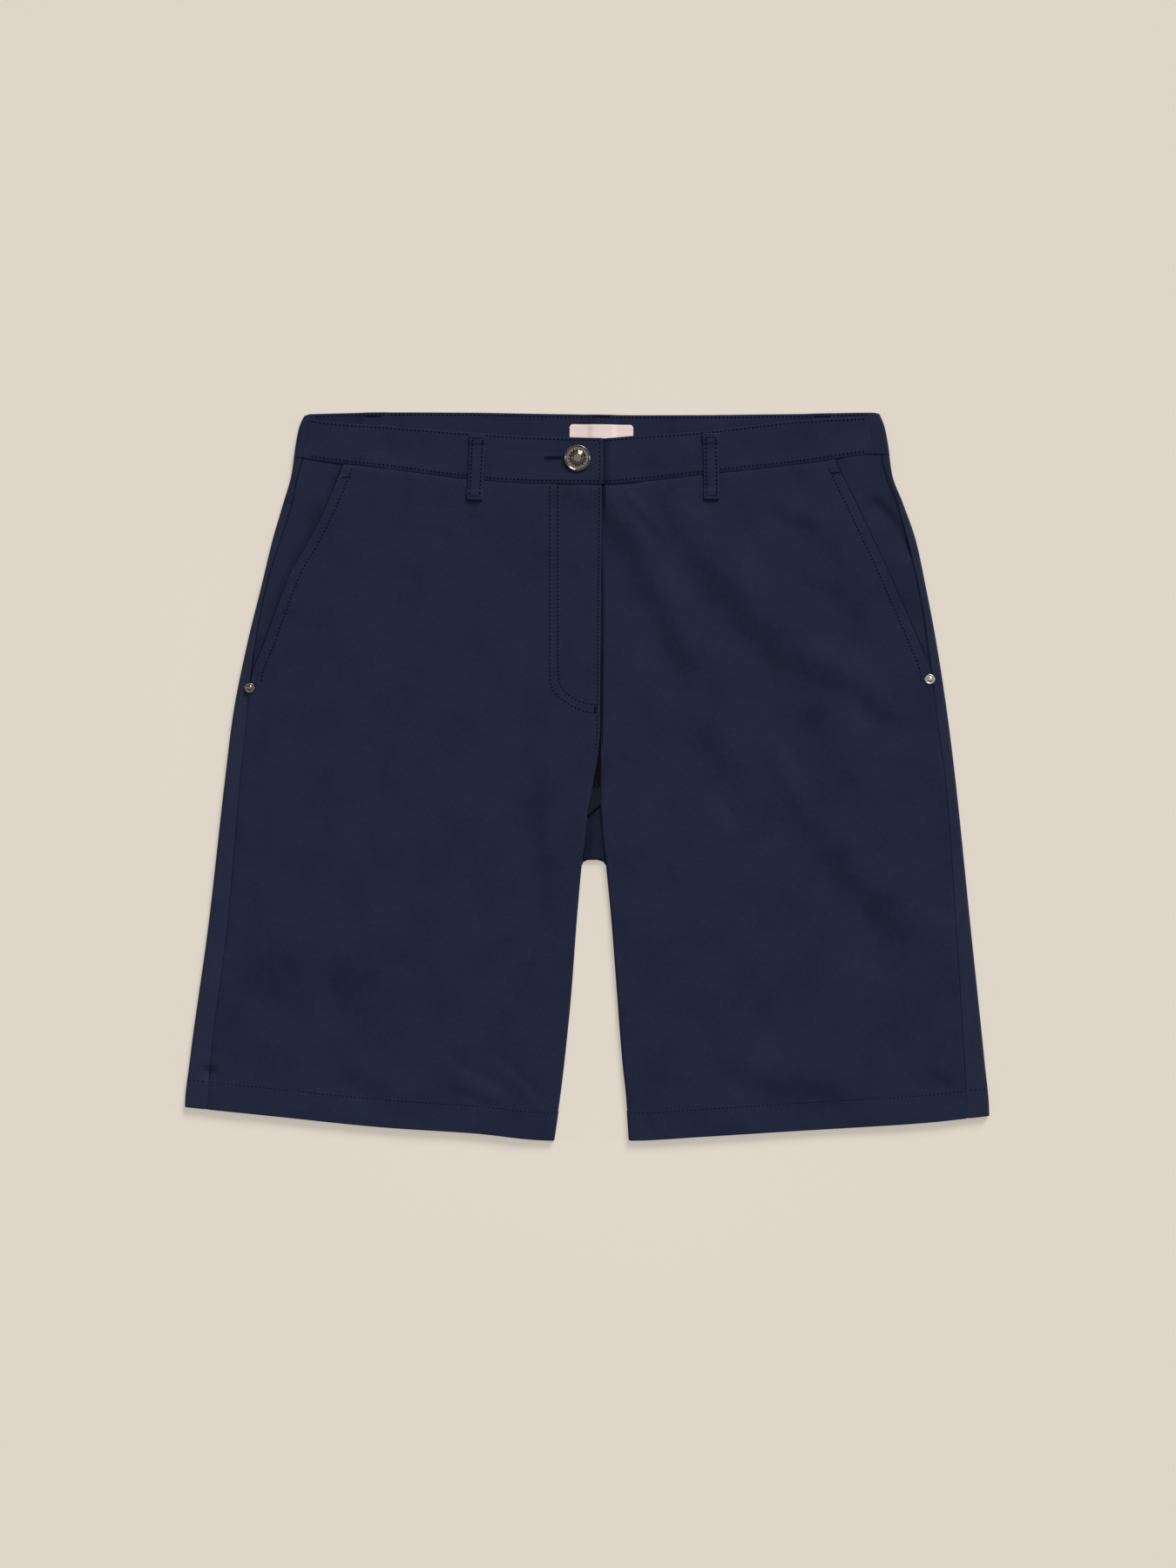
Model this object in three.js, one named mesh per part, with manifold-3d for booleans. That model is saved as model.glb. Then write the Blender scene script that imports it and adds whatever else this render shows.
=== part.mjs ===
// Bermuda shorts of navy cotton, laid flat on a surface with the front side up.
// Millimetres. X runs towards the wearer's left, Y towards the waist and Z up from the surface.
// The origin is at the centre of the outline, on the surface. Right and left are the wearer's.

import * as THREE from 'three';
import { mergeVertices } from 'three/addons/utils/BufferGeometryUtils.js';
import Module from 'manifold-3d';

const wasm = await Module();
wasm.setup();

// Cloth and seams
const SEAM_GAP = 0.3;
const HALF_GAP = SEAM_GAP / 2;
const CLOTH = 1.0;
const HEM_CLOTH = 1.7;
const BAND_CLOTH = 1.5;
const HEM_DEPTH = 20.5;

// Heights of the outer surfaces above the surface that the shorts lie on
const LOFT = 5.2;
const SIDE_HEIGHT = 4.8;
const INSEAM_HEIGHT = 4.6;
const BAND_HEIGHT = 5.2;
const TAB_HEIGHT = 7.7;
const FLY_HEIGHT = 6.0;
const FLY_TOP_HEIGHT = 7.0;
const UNDERLAP_HEIGHT = 3.0;
const POCKET_HEIGHT = 6.0;
const FACING_HEIGHT = { right: 3.5, left: 4.6 };
const TONGUE_HEIGHT = 3.3;

// Places along X and Y
const CENTRE_X = 3.3;
const RISE_X = 5.0;
const TAB_END_X = 11.7;
const BAND_UNDERLAP_X = -42;
const UNDERLAP_X = -34;
const POCKET_END_Y = 64.6;
const CROTCH_Y = -61.5;
const LEGS_PART_Y = -60;
const LEGS_APART_Y = -63.5;
const BACK_BAND_DEPTH = 34;
const FLY_EDGE = { lowX: 9.2, lowY: 28, highX: 10.9, highY: 214 };
const FLY_SHOULDER = 4;
const LEG_SHOULDER = 12;
const YOKE_SIDE_Y = 199.5;
const YOKE_CENTRE_Y = 176;
const HALF_WAIST = 217;
const FACING_UNDER_POCKET = 22;

// Curls where a front turns down at its inner edge
const CURL_RADIUS = 2.1;
const LEAST_CURL = 1.2;
const CURL_STEPS = 4;
const CURL_TABLE_Y = 14;

// Steps round a side fold, columns across a front and steps along the bend of a soft fold
const FOLD_STEPS = 6;
const FRONT_STEPS = 20;
const BEND_STEPS = 8;
const FADE = 0.3;

// Tongues under the crotch: the ends of the fronts, and the back's end folded up and over
const FRONT_TONGUES = { right: { outerX: -4, topY: 6 }, left: { outerX: 12.5, topY: 13 } };
const BACK_FOLD = { radius: 1.6, run: 5, flatY: -56, wideY: -47 };

// Belt loops
const LOOP_WIDTH = 11;
const LOOP_LENGTH = 47;
const LOOP_CLOTH = 1.2;
const BACK_LOOP_CLOTH = 1.0;
const LOOP_END_FOLD = 0.7;
const LOOP_LIFT = BACK_LOOP_CLOTH + SEAM_GAP;
const LIFT_RAMP = 5;
const LOOP_CLEARANCE = 0.8;
const FRONT_LOOP_ROWS = [0, 0.13, 0.16, 0.4, 0.66, 0.84, 0.87, 1];
const LOOP_FOLD_ENDS = [0.15, 0.85];
const BACK_LOOP_TOP_Y = 264;

// Hardware, zip and label
const BUTTON = { x: -7.1, y: 233, radius: 9.5, rimHeight: 1.5, domeHeight: 2.9, shankRadius: 1.6 };
const BUTTON_EDGE = { chamfer: 0.6, rimStart: 0.4, rimEnd: 1.6, hollow: 0.3 };
const BUTTONHOLE = { startX: -31, width: 1.2, eyeRadius: 2.2, clearance: 0.7 };
const RIVET = { radius: 3.75, rimHeight: 0.5, domeRadius: 1.5, domeHeight: 1.3 };
const RIVET_SHOULDER = { radius: 2.8, height: 1.04 };
const RIVET_X = { right: -247.3, left: 251.1 };
const RIVET_Y = { right: 64.6, left: 71 };
const ZIP = { x: -10, tapeWidth: 28, chainWidth: 6, chainSlope: 0.3, topY: 206, endY: 64 };
const ZIP_HEIGHT = { tape: 1.0, chain: 1.4 };
const LABEL = { x: 10.5, width: 47, topY: 258, height: 20, cloth: 1.0 };

const NAVY = new THREE.Color(0x21273a);
const NAVY_DARK = new THREE.Color(0x1b2132);
const STEEL = new THREE.Color(0xa6a49c);
const PINK = new THREE.Color(0xecd6d2);

// Outline of both outer sides
const SIDES = [
  { y: 266.5, right: -206.5, left: 214.2 },
  { y: 256.6, right: -211.2, left: 218.2 },
  { y: 243.8, right: -213.8, left: 220.8 },
  { y: 221.4, right: -217.0, left: 223.9 },
  { y: 199.0, right: -223.4, left: 232.3 },
  { y: 173.0, right: -231.0, left: 241.3 },
  { y: 141.0, right: -238.7, left: 248.2 },
  { y: 96.6, right: -249.6, left: 256.6 },
  { y: 45.4, right: -259.8, left: 264.4 },
  { y: -5.8, right: -266.2, left: 270.7 },
  { y: -108, right: -277.8, left: 281.2 },
  { y: -210, right: -291.8, left: 291.8 },
  { y: -242.5, right: -295.2, left: 295.0 },
  { y: -249.0, right: -295.2, left: 295.2 },
];

// Side seams, on the top side of the folded legs
const SIDE_SEAMS = [
  { y: 232, right: -209.0, left: 216.6 },
  { y: 219, right: -213.0, left: 220.2 },
  { y: 199, right: -217.2, left: 227.9 },
  { y: 173, right: -225.5, left: 235.2 },
  { y: 148, right: -233.4, left: 241.4 },
  { y: 122, right: -239.6, left: 246.6 },
  { y: 79, right: -246.3, left: 252.4 },
  { y: 45, right: -249.6, left: 256.4 },
  { y: -6, right: -255.0, left: 263.2 },
  { y: -108, right: -264.0, left: 270.6 },
  { y: -210, right: -276.6, left: 276.8 },
  { y: -250, right: -279.5, left: 279.2 },
];

// Slanted mouths of the front pockets, down to the rivets
const POCKET_MOUTHS = [
  { y: 230, right: -178.2, left: 182.3 },
  { y: 200, right: -190.1, left: 197.0 },
  { y: 170, right: -205.0, left: 211.2 },
  { y: 150, right: -216.8, left: 220.7 },
  { y: 122, right: -227.8, left: 232.8 },
  { y: 94, right: -238.0, left: 245.0 },
  { y: 78, right: -244.6, left: 251.2 },
  { y: 64, right: -247.6, left: 253.6 },
];

// Inner edges of the fronts: the gap under the fly, then the inside of each leg
const INNER_EDGES = [
  { y: 28, right: 9.2, left: 9.6 },
  { y: 13, right: 7.4, left: 9.6 },
  { y: -1, right: 5.0, left: 9.6 },
  { y: -17, right: 2.3, left: 9.7 },
  { y: -28, right: 0.3, left: 10.2 },
  { y: -44, right: -1.6, left: 11.4 },
  { y: -62, right: -3.6, left: 13.4 },
  { y: -108, right: -7.7, left: 17.9 },
  { y: -159, right: -11.5, left: 21.8 },
  { y: -210, right: -16.6, left: 25.8 },
  { y: -236, right: -19.8, left: 28.6 },
  { y: -267.2, right: -24.3, left: 30.8 },
];

// Waist: upper edges of the back and front bands, and the seam under the front band
const WAIST = [
  { x: -214, backTop: 265.6, frontTop: 265.4, frontSeam: 233.6 },
  { x: -195, backTop: 266.2, frontTop: 260.6, frontSeam: 230.9 },
  { x: -142, backTop: 267.2, frontTop: 256.6, frontSeam: 224.8 },
  { x: -87, backTop: 267.0, frontTop: 252.2, frontSeam: 217.8 },
  { x: -40, backTop: 266.2, frontTop: 249.3, frontSeam: 214.5 },
  { x: 11, backTop: 265.4, frontTop: 247.8, frontSeam: 213.9 },
  { x: 35, backTop: 265.1, frontTop: 249.6, frontSeam: 215.5 },
  { x: 81, backTop: 265.2, frontTop: 252.8, frontSeam: 220.6 },
  { x: 128, backTop: 265.7, frontTop: 258.2, frontSeam: 225.7 },
  { x: 160, backTop: 266.1, frontTop: 261.4, frontSeam: 229.2 },
  { x: 205, backTop: 267.0, frontTop: 263.9, frontSeam: 235.4 },
  { x: 221, backTop: 266.8, frontTop: 266.6, frontSeam: 236.0 },
];

// Side seams of the waistband
const BAND_SEAMS = [
  { y: 265, right: -202.8, left: 205.7 },
  { y: 234, right: -209.2, left: 211.0 },
];

// Lower edges of both legs
const HEMS = [
  { x: -295.2, y: -242.5 },
  { x: -229, y: -249.3 },
  { x: -150, y: -257.3 },
  { x: -83, y: -261.8 },
  { x: -24, y: -267.2 },
  { x: 31, y: -267.2 },
  { x: 84, y: -264.3 },
  { x: 145, y: -260.5 },
  { x: 247, y: -254.1 },
  { x: 295.2, y: -249.0 },
];

// Lowest point of the curled inner edge of each front: above a layer, or fused into its tongue
const CURL_ENDS = {
  right: [
    { y: 0, z: 3.65 },
    { y: -5, z: 2.8 },
    { y: -27.5, z: 2.8 },
    { y: -30.3, z: 3.65 },
    { y: -55, z: 3.65 },
    { y: -64, z: 1.3 },
  ],
  left: [
    { y: 14, z: 2.8 },
    { y: -18.5, z: 2.8 },
    { y: -21.5, z: 3.65 },
    { y: -55, z: 3.65 },
    { y: -64, z: 1.3 },
  ],
};

// Seam across the tongue, and how far the back's tongue reaches under the fronts
const CROSS_SEAM = { x: 1.3, y: -29.4, slope: 0.84 };
const BACK_TONGUE = [
  { y: -59.9, right: -2.2, left: 12.0 },
  { y: -56, right: -2.2, left: 12.0 },
  { y: -47, right: -8, left: 18 },
  { y: -30, right: -8, left: 18 },
];

// Heights along the inner edge where each front has a row of points
const ROWS = {
  right: [213.7, 196, 178, 160, 142, 124, 106, 90, 74, 60, 46, 34, 24, 12, 0, -5, -16, -27.5, -30.3, -43, -55,
    -64, -77, -93, -110, -128, -146, -164, -182, -200, -218, -234],
  left: [213.7, 196, 178, 160, 142, 124, 106, 90, 76, 62, 52, 42, 32, 24, 14, 0, -18.5, -21.5, -36, -55,
    -64, -77, -93, -110, -128, -146, -164, -182, -200, -218, -234],
};

// Soft folds of the fronts, each along a bend through three places. Its crest lies on the left of the run
// and its hollow on the right, each at 0.7 of the width, and the rise is the height of the crest.
const FOLDS = [
  { x1: -12, y1: 243, x2: 42, y2: 145, x3: 88, y3: 40, width: 19, rise: 2.2 },
  { x1: 30, y1: 228, x2: 94, y2: 140, x3: 162, y3: 68, width: 21, rise: 1.6 },
  { x1: 146, y1: 90, x2: 192, y2: 64, x3: 252, y3: 30, width: 15, rise: 1.1 },
  { x1: 140, y1: 100, x2: 172, y2: 35, x3: 205, y3: -50, width: 26, rise: 1.8 },
  { x1: 116, y1: 34, x2: 178, y2: -56, x3: 262, y3: -160, width: 24, rise: 1.7 },
  { x1: 76, y1: 58, x2: 98, y2: 8, x3: 136, y3: -44, width: 17, rise: 1.0 },
  { x1: 118, y1: 48, x2: 152, y2: 2, x3: 174, y3: -40, width: 10, rise: -0.6 },
  { x1: 126, y1: 204, x2: 153, y2: 188, x3: 176, y3: 177, width: 11, rise: 0.7 },
  { x1: 146, y1: 152, x2: 168, y2: 142, x3: 196, y3: 128, width: 11, rise: 0.45 },
  { x1: 88, y1: -206, x2: 135, y2: -226, x3: 205, y3: -231, width: 18, rise: 1.3 },
  { x1: -38, y1: 140, x2: -50, y2: 105, x3: -66, y3: 60, width: 8, rise: 0.7 },
  { x1: -34, y1: 150, x2: -52, y2: 40, x3: -64, y3: -120, width: 16, rise: -1.3 },
  { x1: -36, y1: 30, x2: -34, y2: -40, x3: -28, y3: -120, width: 15, rise: 1.1 },
  { x1: -276, y1: -158, x2: -204, y2: -142, x3: -124, y3: -166, width: 34, rise: 1.5 },
  { x1: -208, y1: -76, x2: -192, y2: -116, x3: -172, y3: -158, width: 16, rise: 0.5 },
  { x1: -190, y1: -212, x2: -150, y2: -232, x3: -120, y3: -247, width: 13, rise: 0.7 },
  { x1: -250, y1: 40, x2: -238, y2: -30, x3: -240, y3: -110, width: 14, rise: 0.5 },
];

// Where the heights of the top side change: each ramp goes from 0 to 1 from its start over its length.
// Those of the first group run along Y, those of the second along X and the others inwards from an edge.
const RAMPS = {
  flyUp: { start: 14, length: 16 },
  overZip: { start: 4, length: 56 },
  flyTop: { start: 195, length: 18 },
  belowPocket: { start: 58, length: -25 },
  leg: { start: -50, length: -25 },
  underlapOut: { start: 30, length: 32 },

  flyAcross: { start: -65, length: 31 },
  bandCentre: { start: -42, length: 34 },
  bandLeft: { start: 30, length: 40 },

  foldsFromSide: { start: 0, length: 40 },
  foldsFromBand: { start: 0, length: 12 },
  foldsFromInseam: { start: 0, length: 25 },
  sideFall: { start: 0, length: 35 },
  inseamFall: { start: 0, length: 30 },
  pocketMouth: { start: 24, length: 20 },
  besideFly: { start: 0.2, length: 3.6 },
  facingEnd: { start: 4, length: 4 },
};

const LIFT_REACH = LOOP_WIDTH / 2 + LOOP_CLEARANCE;
const LIFT_END_Y = BACK_LOOP_TOP_Y - LOOP_LENGTH - 2;

const FRONT_LOOPS = [
  { name: 'right_front_loop', topX: -80.2, endX: -82.4, topY: 250 },
  { name: 'left_front_loop', topX: 90.6, endX: 91.4, topY: 250.6 },
];
const BACK_LOOPS = [
  { name: 'right_back_loop', x: -156.5 },
  { name: 'centre_back_loop', x: 11 },
  { name: 'left_back_loop', x: 172.5 },
];

// Small tools for numbers and tables

function lerp(a, b, t) {
  return a + (b - a) * t;
}

function smooth(t) {
  const c = Math.min(Math.max(t, 0), 1);
  return c * c * (3 - 2 * c);
}

function ramp(value, { start, length }) {
  return smooth((value - start) / length);
}

function spread(from, to, steps) {
  return Array.from({ length: steps + 1 }, (_, i) => lerp(from, to, i / steps));
}

function findSpan(keys, key) {
  let i = 0;
  while (i < keys.length - 2 && key > keys[i + 1]) i += 1;
  return i;
}

// Straight lines through a table's rows
function straight(table, from, to) {
  const rows = [...table].sort((a, b) => a[from] - b[from]);
  const keys = rows.map((row) => row[from]);
  return (key) => {
    const i = findSpan(keys, key);
    const t = Math.min(Math.max((key - keys[i]) / (keys[i + 1] - keys[i]), 0), 1);
    return lerp(rows[i][to], rows[i + 1][to], t);
  };
}

// A smooth curve through a table's rows that never overshoots them
function curve(table, from, to) {
  const rows = [...table].sort((a, b) => a[from] - b[from]);
  const keys = rows.map((row) => row[from]);
  const values = rows.map((row) => row[to]);
  const slopes = keys.slice(1).map((key, i) => (values[i + 1] - values[i]) / (key - keys[i]));
  const tangents = keys.map((_, i) => {
    const before = slopes[Math.max(i - 1, 0)];
    const after = slopes[Math.min(i, slopes.length - 1)];
    return before * after <= 0 ? 0 : (2 * before * after) / (before + after);
  });
  return (key) => {
    const held = Math.min(Math.max(key, keys[0]), keys[keys.length - 1]);
    const i = findSpan(keys, held);
    const span = keys[i + 1] - keys[i];
    const t = (held - keys[i]) / span;
    const t2 = t * t;
    const t3 = t2 * t;
    return (2 * t3 - 3 * t2 + 1) * values[i] + (t3 - 2 * t2 + t) * span * tangents[i]
      + (3 * t2 - 2 * t3) * values[i + 1] + (t3 - t2) * span * tangents[i + 1];
  };
}

const sideX = { right: curve(SIDES, 'y', 'right'), left: curve(SIDES, 'y', 'left') };
const tableSeamX = { right: curve(SIDE_SEAMS, 'y', 'right'), left: curve(SIDE_SEAMS, 'y', 'left') };
const tablePocketX = { right: curve(POCKET_MOUTHS, 'y', 'right'), left: curve(POCKET_MOUTHS, 'y', 'left') };
const innerX = { right: curve(INNER_EDGES, 'y', 'right'), left: curve(INNER_EDGES, 'y', 'left') };
const bandSeamX = { right: straight(BAND_SEAMS, 'y', 'right'), left: straight(BAND_SEAMS, 'y', 'left') };
const tongueX = { right: straight(BACK_TONGUE, 'y', 'right'), left: straight(BACK_TONGUE, 'y', 'left') };
const curlEnd = { right: straight(CURL_ENDS.right, 'y', 'z'), left: straight(CURL_ENDS.left, 'y', 'z') };
const backTopY = curve(WAIST, 'x', 'backTop');
const frontTopY = curve(WAIST, 'x', 'frontTop');
const frontSeamY = curve(WAIST, 'x', 'frontSeam');
const hemY = curve(HEMS, 'x', 'y');

// The sign of X on each side
const OUT = { right: -1, left: 1 };

// The side seam keeps clear of the round of the side fold
function seamX(side, y) {
  const furthest = Math.abs(sideX[side](y)) - SIDE_HEIGHT / 2 - 1;
  return OUT[side] * Math.min(Math.abs(tableSeamX[side](y)), furthest);
}

function pocketX(side, y) {
  return OUT[side] * Math.min(Math.abs(tablePocketX[side](y)), Math.abs(seamX(side, y)) - SEAM_GAP);
}

function yokeSeamY(x) {
  return lerp(YOKE_CENTRE_Y, YOKE_SIDE_Y, Math.min(Math.abs(x - CENTRE_X) / HALF_WAIST, 1));
}

function crossSeamY(x) {
  return CROSS_SEAM.y + (x - CROSS_SEAM.x) * CROSS_SEAM.slope;
}

// Rise of the back cloth over the belt loops that lie under it
function loopLift(x, y) {
  const nearest = Math.min(...BACK_LOOPS.map((loop) => Math.abs(x - loop.x)));
  const across = (LIFT_REACH + LIFT_RAMP - nearest) / LIFT_RAMP;
  const along = (y - LIFT_END_Y + LIFT_RAMP) / LIFT_RAMP;
  return LOOP_LIFT * Math.min(Math.max(across, 0), 1) * Math.min(Math.max(along, 0), 1);
}

// Places along X where that rise starts and stops, between two limits
function liftStops(from, to) {
  const low = Math.min(from, to) + 1;
  const high = Math.max(from, to) - 1;
  const reaches = [-LIFT_REACH - LIFT_RAMP, -LIFT_REACH, LIFT_REACH, LIFT_REACH + LIFT_RAMP];
  return BACK_LOOPS.flatMap((loop) => reaches.map((dx) => loop.x + dx)).filter((x) => x > low && x < high);
}

// Height fields of the top side

// How far a place is to the left of a line, and where along the line it is nearest, from 0 to 1
function beside(line, x, y) {
  let nearest = Infinity;
  let across = 0;
  let place = 0;
  for (let k = 0; k < line.length - 1; k += 1) {
    const from = line[k];
    const dx = line[k + 1].x - from.x;
    const dy = line[k + 1].y - from.y;
    const along = ((x - from.x) * dx + (y - from.y) * dy) / (dx * dx + dy * dy);
    const t = Math.min(Math.max(along, 0), 1);
    const distance = Math.hypot(x - from.x - t * dx, y - from.y - t * dy);
    if (distance < nearest) {
      nearest = distance;
      across = (y - from.y) * dx > (x - from.x) * dy ? distance : -distance;
      place = (k + t) / (line.length - 1);
    }
  }
  return { across, place };
}

const bends = FOLDS.map((fold) => new THREE.SplineCurve([
  new THREE.Vector2(fold.x1, fold.y1),
  new THREE.Vector2(fold.x2, fold.y2),
  new THREE.Vector2(fold.x3, fold.y3),
]).getPoints(BEND_STEPS));

// A crest beside a hollow, which fades out at both ends; the factor makes the crest as high as the rise
function foldRise(x, y) {
  const factor = Math.sqrt(2 * Math.E);
  return FOLDS.reduce((sum, fold, i) => {
    const { across, place } = beside(bends[i], x, y);
    const a = across / fold.width;
    const fade = smooth(place / FADE) * smooth((1 - place) / FADE);
    return sum + fold.rise * fade * factor * a * Math.exp(-a * a);
  }, 0);
}

function flyEdgeX(y) {
  const { lowX, lowY, highX, highY } = FLY_EDGE;
  return lerp(lowX, highX, Math.max((y - lowY) / (highY - lowY), 0));
}

function frontHeight(side, x, y) {
  const fromSide = Math.abs(sideX[side](y)) - Math.abs(x);
  const fromInner = OUT[side] * (x - innerX[side](y));
  const fromPocket = Math.abs(pocketX(side, y)) - Math.abs(x);
  const belowPocket = ramp(y, RAMPS.belowPocket);
  const leg = ramp(y, RAMPS.leg);
  const loose = ramp(fromSide, RAMPS.foldsFromSide) * ramp(frontSeamY(x) - y, RAMPS.foldsFromBand)
    * lerp(1, ramp(fromInner, RAMPS.foldsFromInseam), leg);
  let z = LOFT + foldRise(x, y) * loose;
  z -= (LOFT - SIDE_HEIGHT) * belowPocket * (1 - ramp(fromSide, RAMPS.sideFall));
  z -= (LOFT - INSEAM_HEIGHT) * leg * (1 - ramp(fromInner, RAMPS.inseamFall));
  const mouth = (1 - ramp(fromPocket, RAMPS.pocketMouth)) * (1 - belowPocket);
  z = lerp(z, POCKET_HEIGHT, mouth);
  return side === 'right' ? overFly(x, y, z) : underFly(x, y, z);
}

function overFly(x, y, z) {
  const fly = lerp(z, FLY_HEIGHT, ramp(x, RAMPS.flyAcross) * ramp(y, RAMPS.overZip));
  return lerp(fly, FLY_TOP_HEIGHT, centreRise(x) * ramp(y, RAMPS.flyTop));
}

// The left front comes up steeply beside the edge of the fly
function underFly(x, y, z) {
  return lerp(z, UNDERLAP_HEIGHT, (1 - ramp(x - flyEdgeX(y), RAMPS.besideFly)) * ramp(y, RAMPS.flyUp));
}

// The bands rise over the label and the belt loop at the centre of the back
function centreRise(x) {
  return ramp(x, RAMPS.bandCentre);
}

function bandHeight(side, x) {
  if (side === 'right') return lerp(BAND_HEIGHT, TAB_HEIGHT, centreRise(x));
  const underTab = lerp(BAND_HEIGHT, TAB_HEIGHT, centreRise(x)) - BAND_CLOTH - SEAM_GAP;
  return x < TAB_END_X ? underTab : lerp(underTab, BAND_HEIGHT, ramp(x, RAMPS.bandLeft));
}

// Solids from grids of points

function flipFaces(index) {
  for (let i = 0; i < index.length; i += 3) [index[i + 1], index[i + 2]] = [index[i + 2], index[i + 1]];
}

function signedVolume(points, index) {
  let sum = 0;
  for (let i = 0; i < index.length; i += 3) {
    const [a, b, c] = [points[index[i]], points[index[i + 1]], points[index[i + 2]]];
    sum += a.dot(b.clone().cross(c)) / 6;
  }
  return sum;
}

function gridNormal(grid, i, j) {
  const rows = grid.length;
  const columns = grid[0].length;
  const alongRow = grid[i][Math.min(j + 1, columns - 1)].clone().sub(grid[i][Math.max(j - 1, 0)]);
  const alongColumn = grid[Math.min(i + 1, rows - 1)][j].clone().sub(grid[Math.max(i - 1, 0)][j]);
  return alongRow.cross(alongColumn).normalize();
}

// A closed wall between a grid of outer points and a grid of inner points
function closedWall(outer, inner) {
  const rows = outer.length;
  const columns = outer[0].length;
  const points = [...outer.flat(), ...inner.flat()];
  const half = rows * columns;
  const at = (layer, i, j) => layer * half + i * columns + j;
  const index = [];
  const quad = (a, b, c, d) => index.push(a, b, c, a, c, d);
  for (let i = 0; i < rows - 1; i += 1) {
    for (let j = 0; j < columns - 1; j += 1) {
      quad(at(0, i, j), at(0, i, j + 1), at(0, i + 1, j + 1), at(0, i + 1, j));
      quad(at(1, i, j), at(1, i + 1, j), at(1, i + 1, j + 1), at(1, i, j + 1));
    }
  }
  for (let i = 0; i < rows - 1; i += 1) {
    quad(at(0, i, 0), at(0, i + 1, 0), at(1, i + 1, 0), at(1, i, 0));
    quad(at(0, i + 1, columns - 1), at(0, i, columns - 1), at(1, i, columns - 1), at(1, i + 1, columns - 1));
  }
  for (let j = 0; j < columns - 1; j += 1) {
    quad(at(0, 0, j + 1), at(0, 0, j), at(1, 0, j), at(1, 0, j + 1));
    quad(at(0, rows - 1, j), at(0, rows - 1, j + 1), at(1, rows - 1, j + 1), at(1, rows - 1, j));
  }
  if (signedVolume(points, index) < 0) flipFaces(index);
  const geometry = new THREE.BufferGeometry();
  geometry.setAttribute('position', new THREE.Float32BufferAttribute(points.flatMap((p) => p.toArray()), 3));
  geometry.setIndex(index);
  return geometry;
}

// A wall whose inner points lie one thickness behind the outer ones; inward is the sign of that direction
function clothWall(outer, inward, thickness) {
  const inner = outer.map((row, i) => row.map((point, j) => {
    const depth = typeof thickness === 'function' ? thickness(i, j) : thickness;
    return point.clone().addScaledVector(gridNormal(outer, i, j), inward * depth);
  }));
  return closedWall(outer, inner);
}

// A flat-lying strip from its under points, raised by its thickness
function layer(under, thickness) {
  const top = under.map((row, i) => row.map((point, j) => {
    const height = typeof thickness === 'function' ? thickness(i, j) : thickness;
    return point.clone().add(new THREE.Vector3(0, 0, height));
  }));
  return closedWall(top, under);
}

// The height at which a row crosses a column, where the column's place depends on that height
function solveRow(placeX, rowY) {
  let y = 0;
  for (let turn = 0; turn < 6; turn += 1) y = rowY(placeX(y));
  return y;
}

function toManifold(geometry) {
  const bare = geometry.clone();
  bare.deleteAttribute('normal');
  bare.deleteAttribute('uv');
  const merged = mergeVertices(bare, 1e-4);
  return new wasm.Manifold(new wasm.Mesh({
    numProp: 3,
    vertProperties: new Float32Array(merged.attributes.position.array),
    triVerts: new Uint32Array(merged.index.array),
  }));
}

function fromManifold(solid) {
  const mesh = solid.getMesh();
  const geometry = new THREE.BufferGeometry();
  geometry.setAttribute('position', new THREE.Float32BufferAttribute([...mesh.vertProperties], 3));
  geometry.setIndex([...mesh.triVerts]);
  return geometry;
}

function joined(...geometries) {
  return fromManifold(geometries.map(toManifold).reduce((all, next) => all.add(next)));
}

// Fronts

function frontOuterX(side, y) {
  if (y > POCKET_END_Y) return pocketX(side, y);
  return seamX(side, y) - OUT[side] * HALF_GAP;
}

// The left front runs on under the fly as far as the underlap's edge, down to its rounded end
function frontInnerX(side, y) {
  if (side === 'right') return y > FLY_EDGE.lowY ? flyEdgeX(y) : innerX.right(y);
  return lerp(innerX.left(y), UNDERLAP_X, ramp(y, RAMPS.underlapOut));
}

// Columns across a front from its outer side to where it curls; the left front has more beside the fly
function frontColumns(side) {
  const evenly = (u) => (y, endX) => lerp(frontOuterX(side, y), endX, u);
  if (side === 'right') return spread(0, 1, FRONT_STEPS).map(evenly);
  const shoulderX = (y) => lerp(
    innerX.left(y) + LEG_SHOULDER, flyEdgeX(y) + FLY_SHOULDER, ramp(y, RAMPS.flyUp),
  );
  return [
    ...spread(0, 1, FRONT_STEPS - 2).map((u) => (y) => lerp(frontOuterX(side, y), shoulderX(y), u)),
    ...[0.03, 0.058, 0.087, 0.6, 1].map((u) => (y, endX) => lerp(shoulderX(y), endX, u)),
  ];
}

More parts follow.
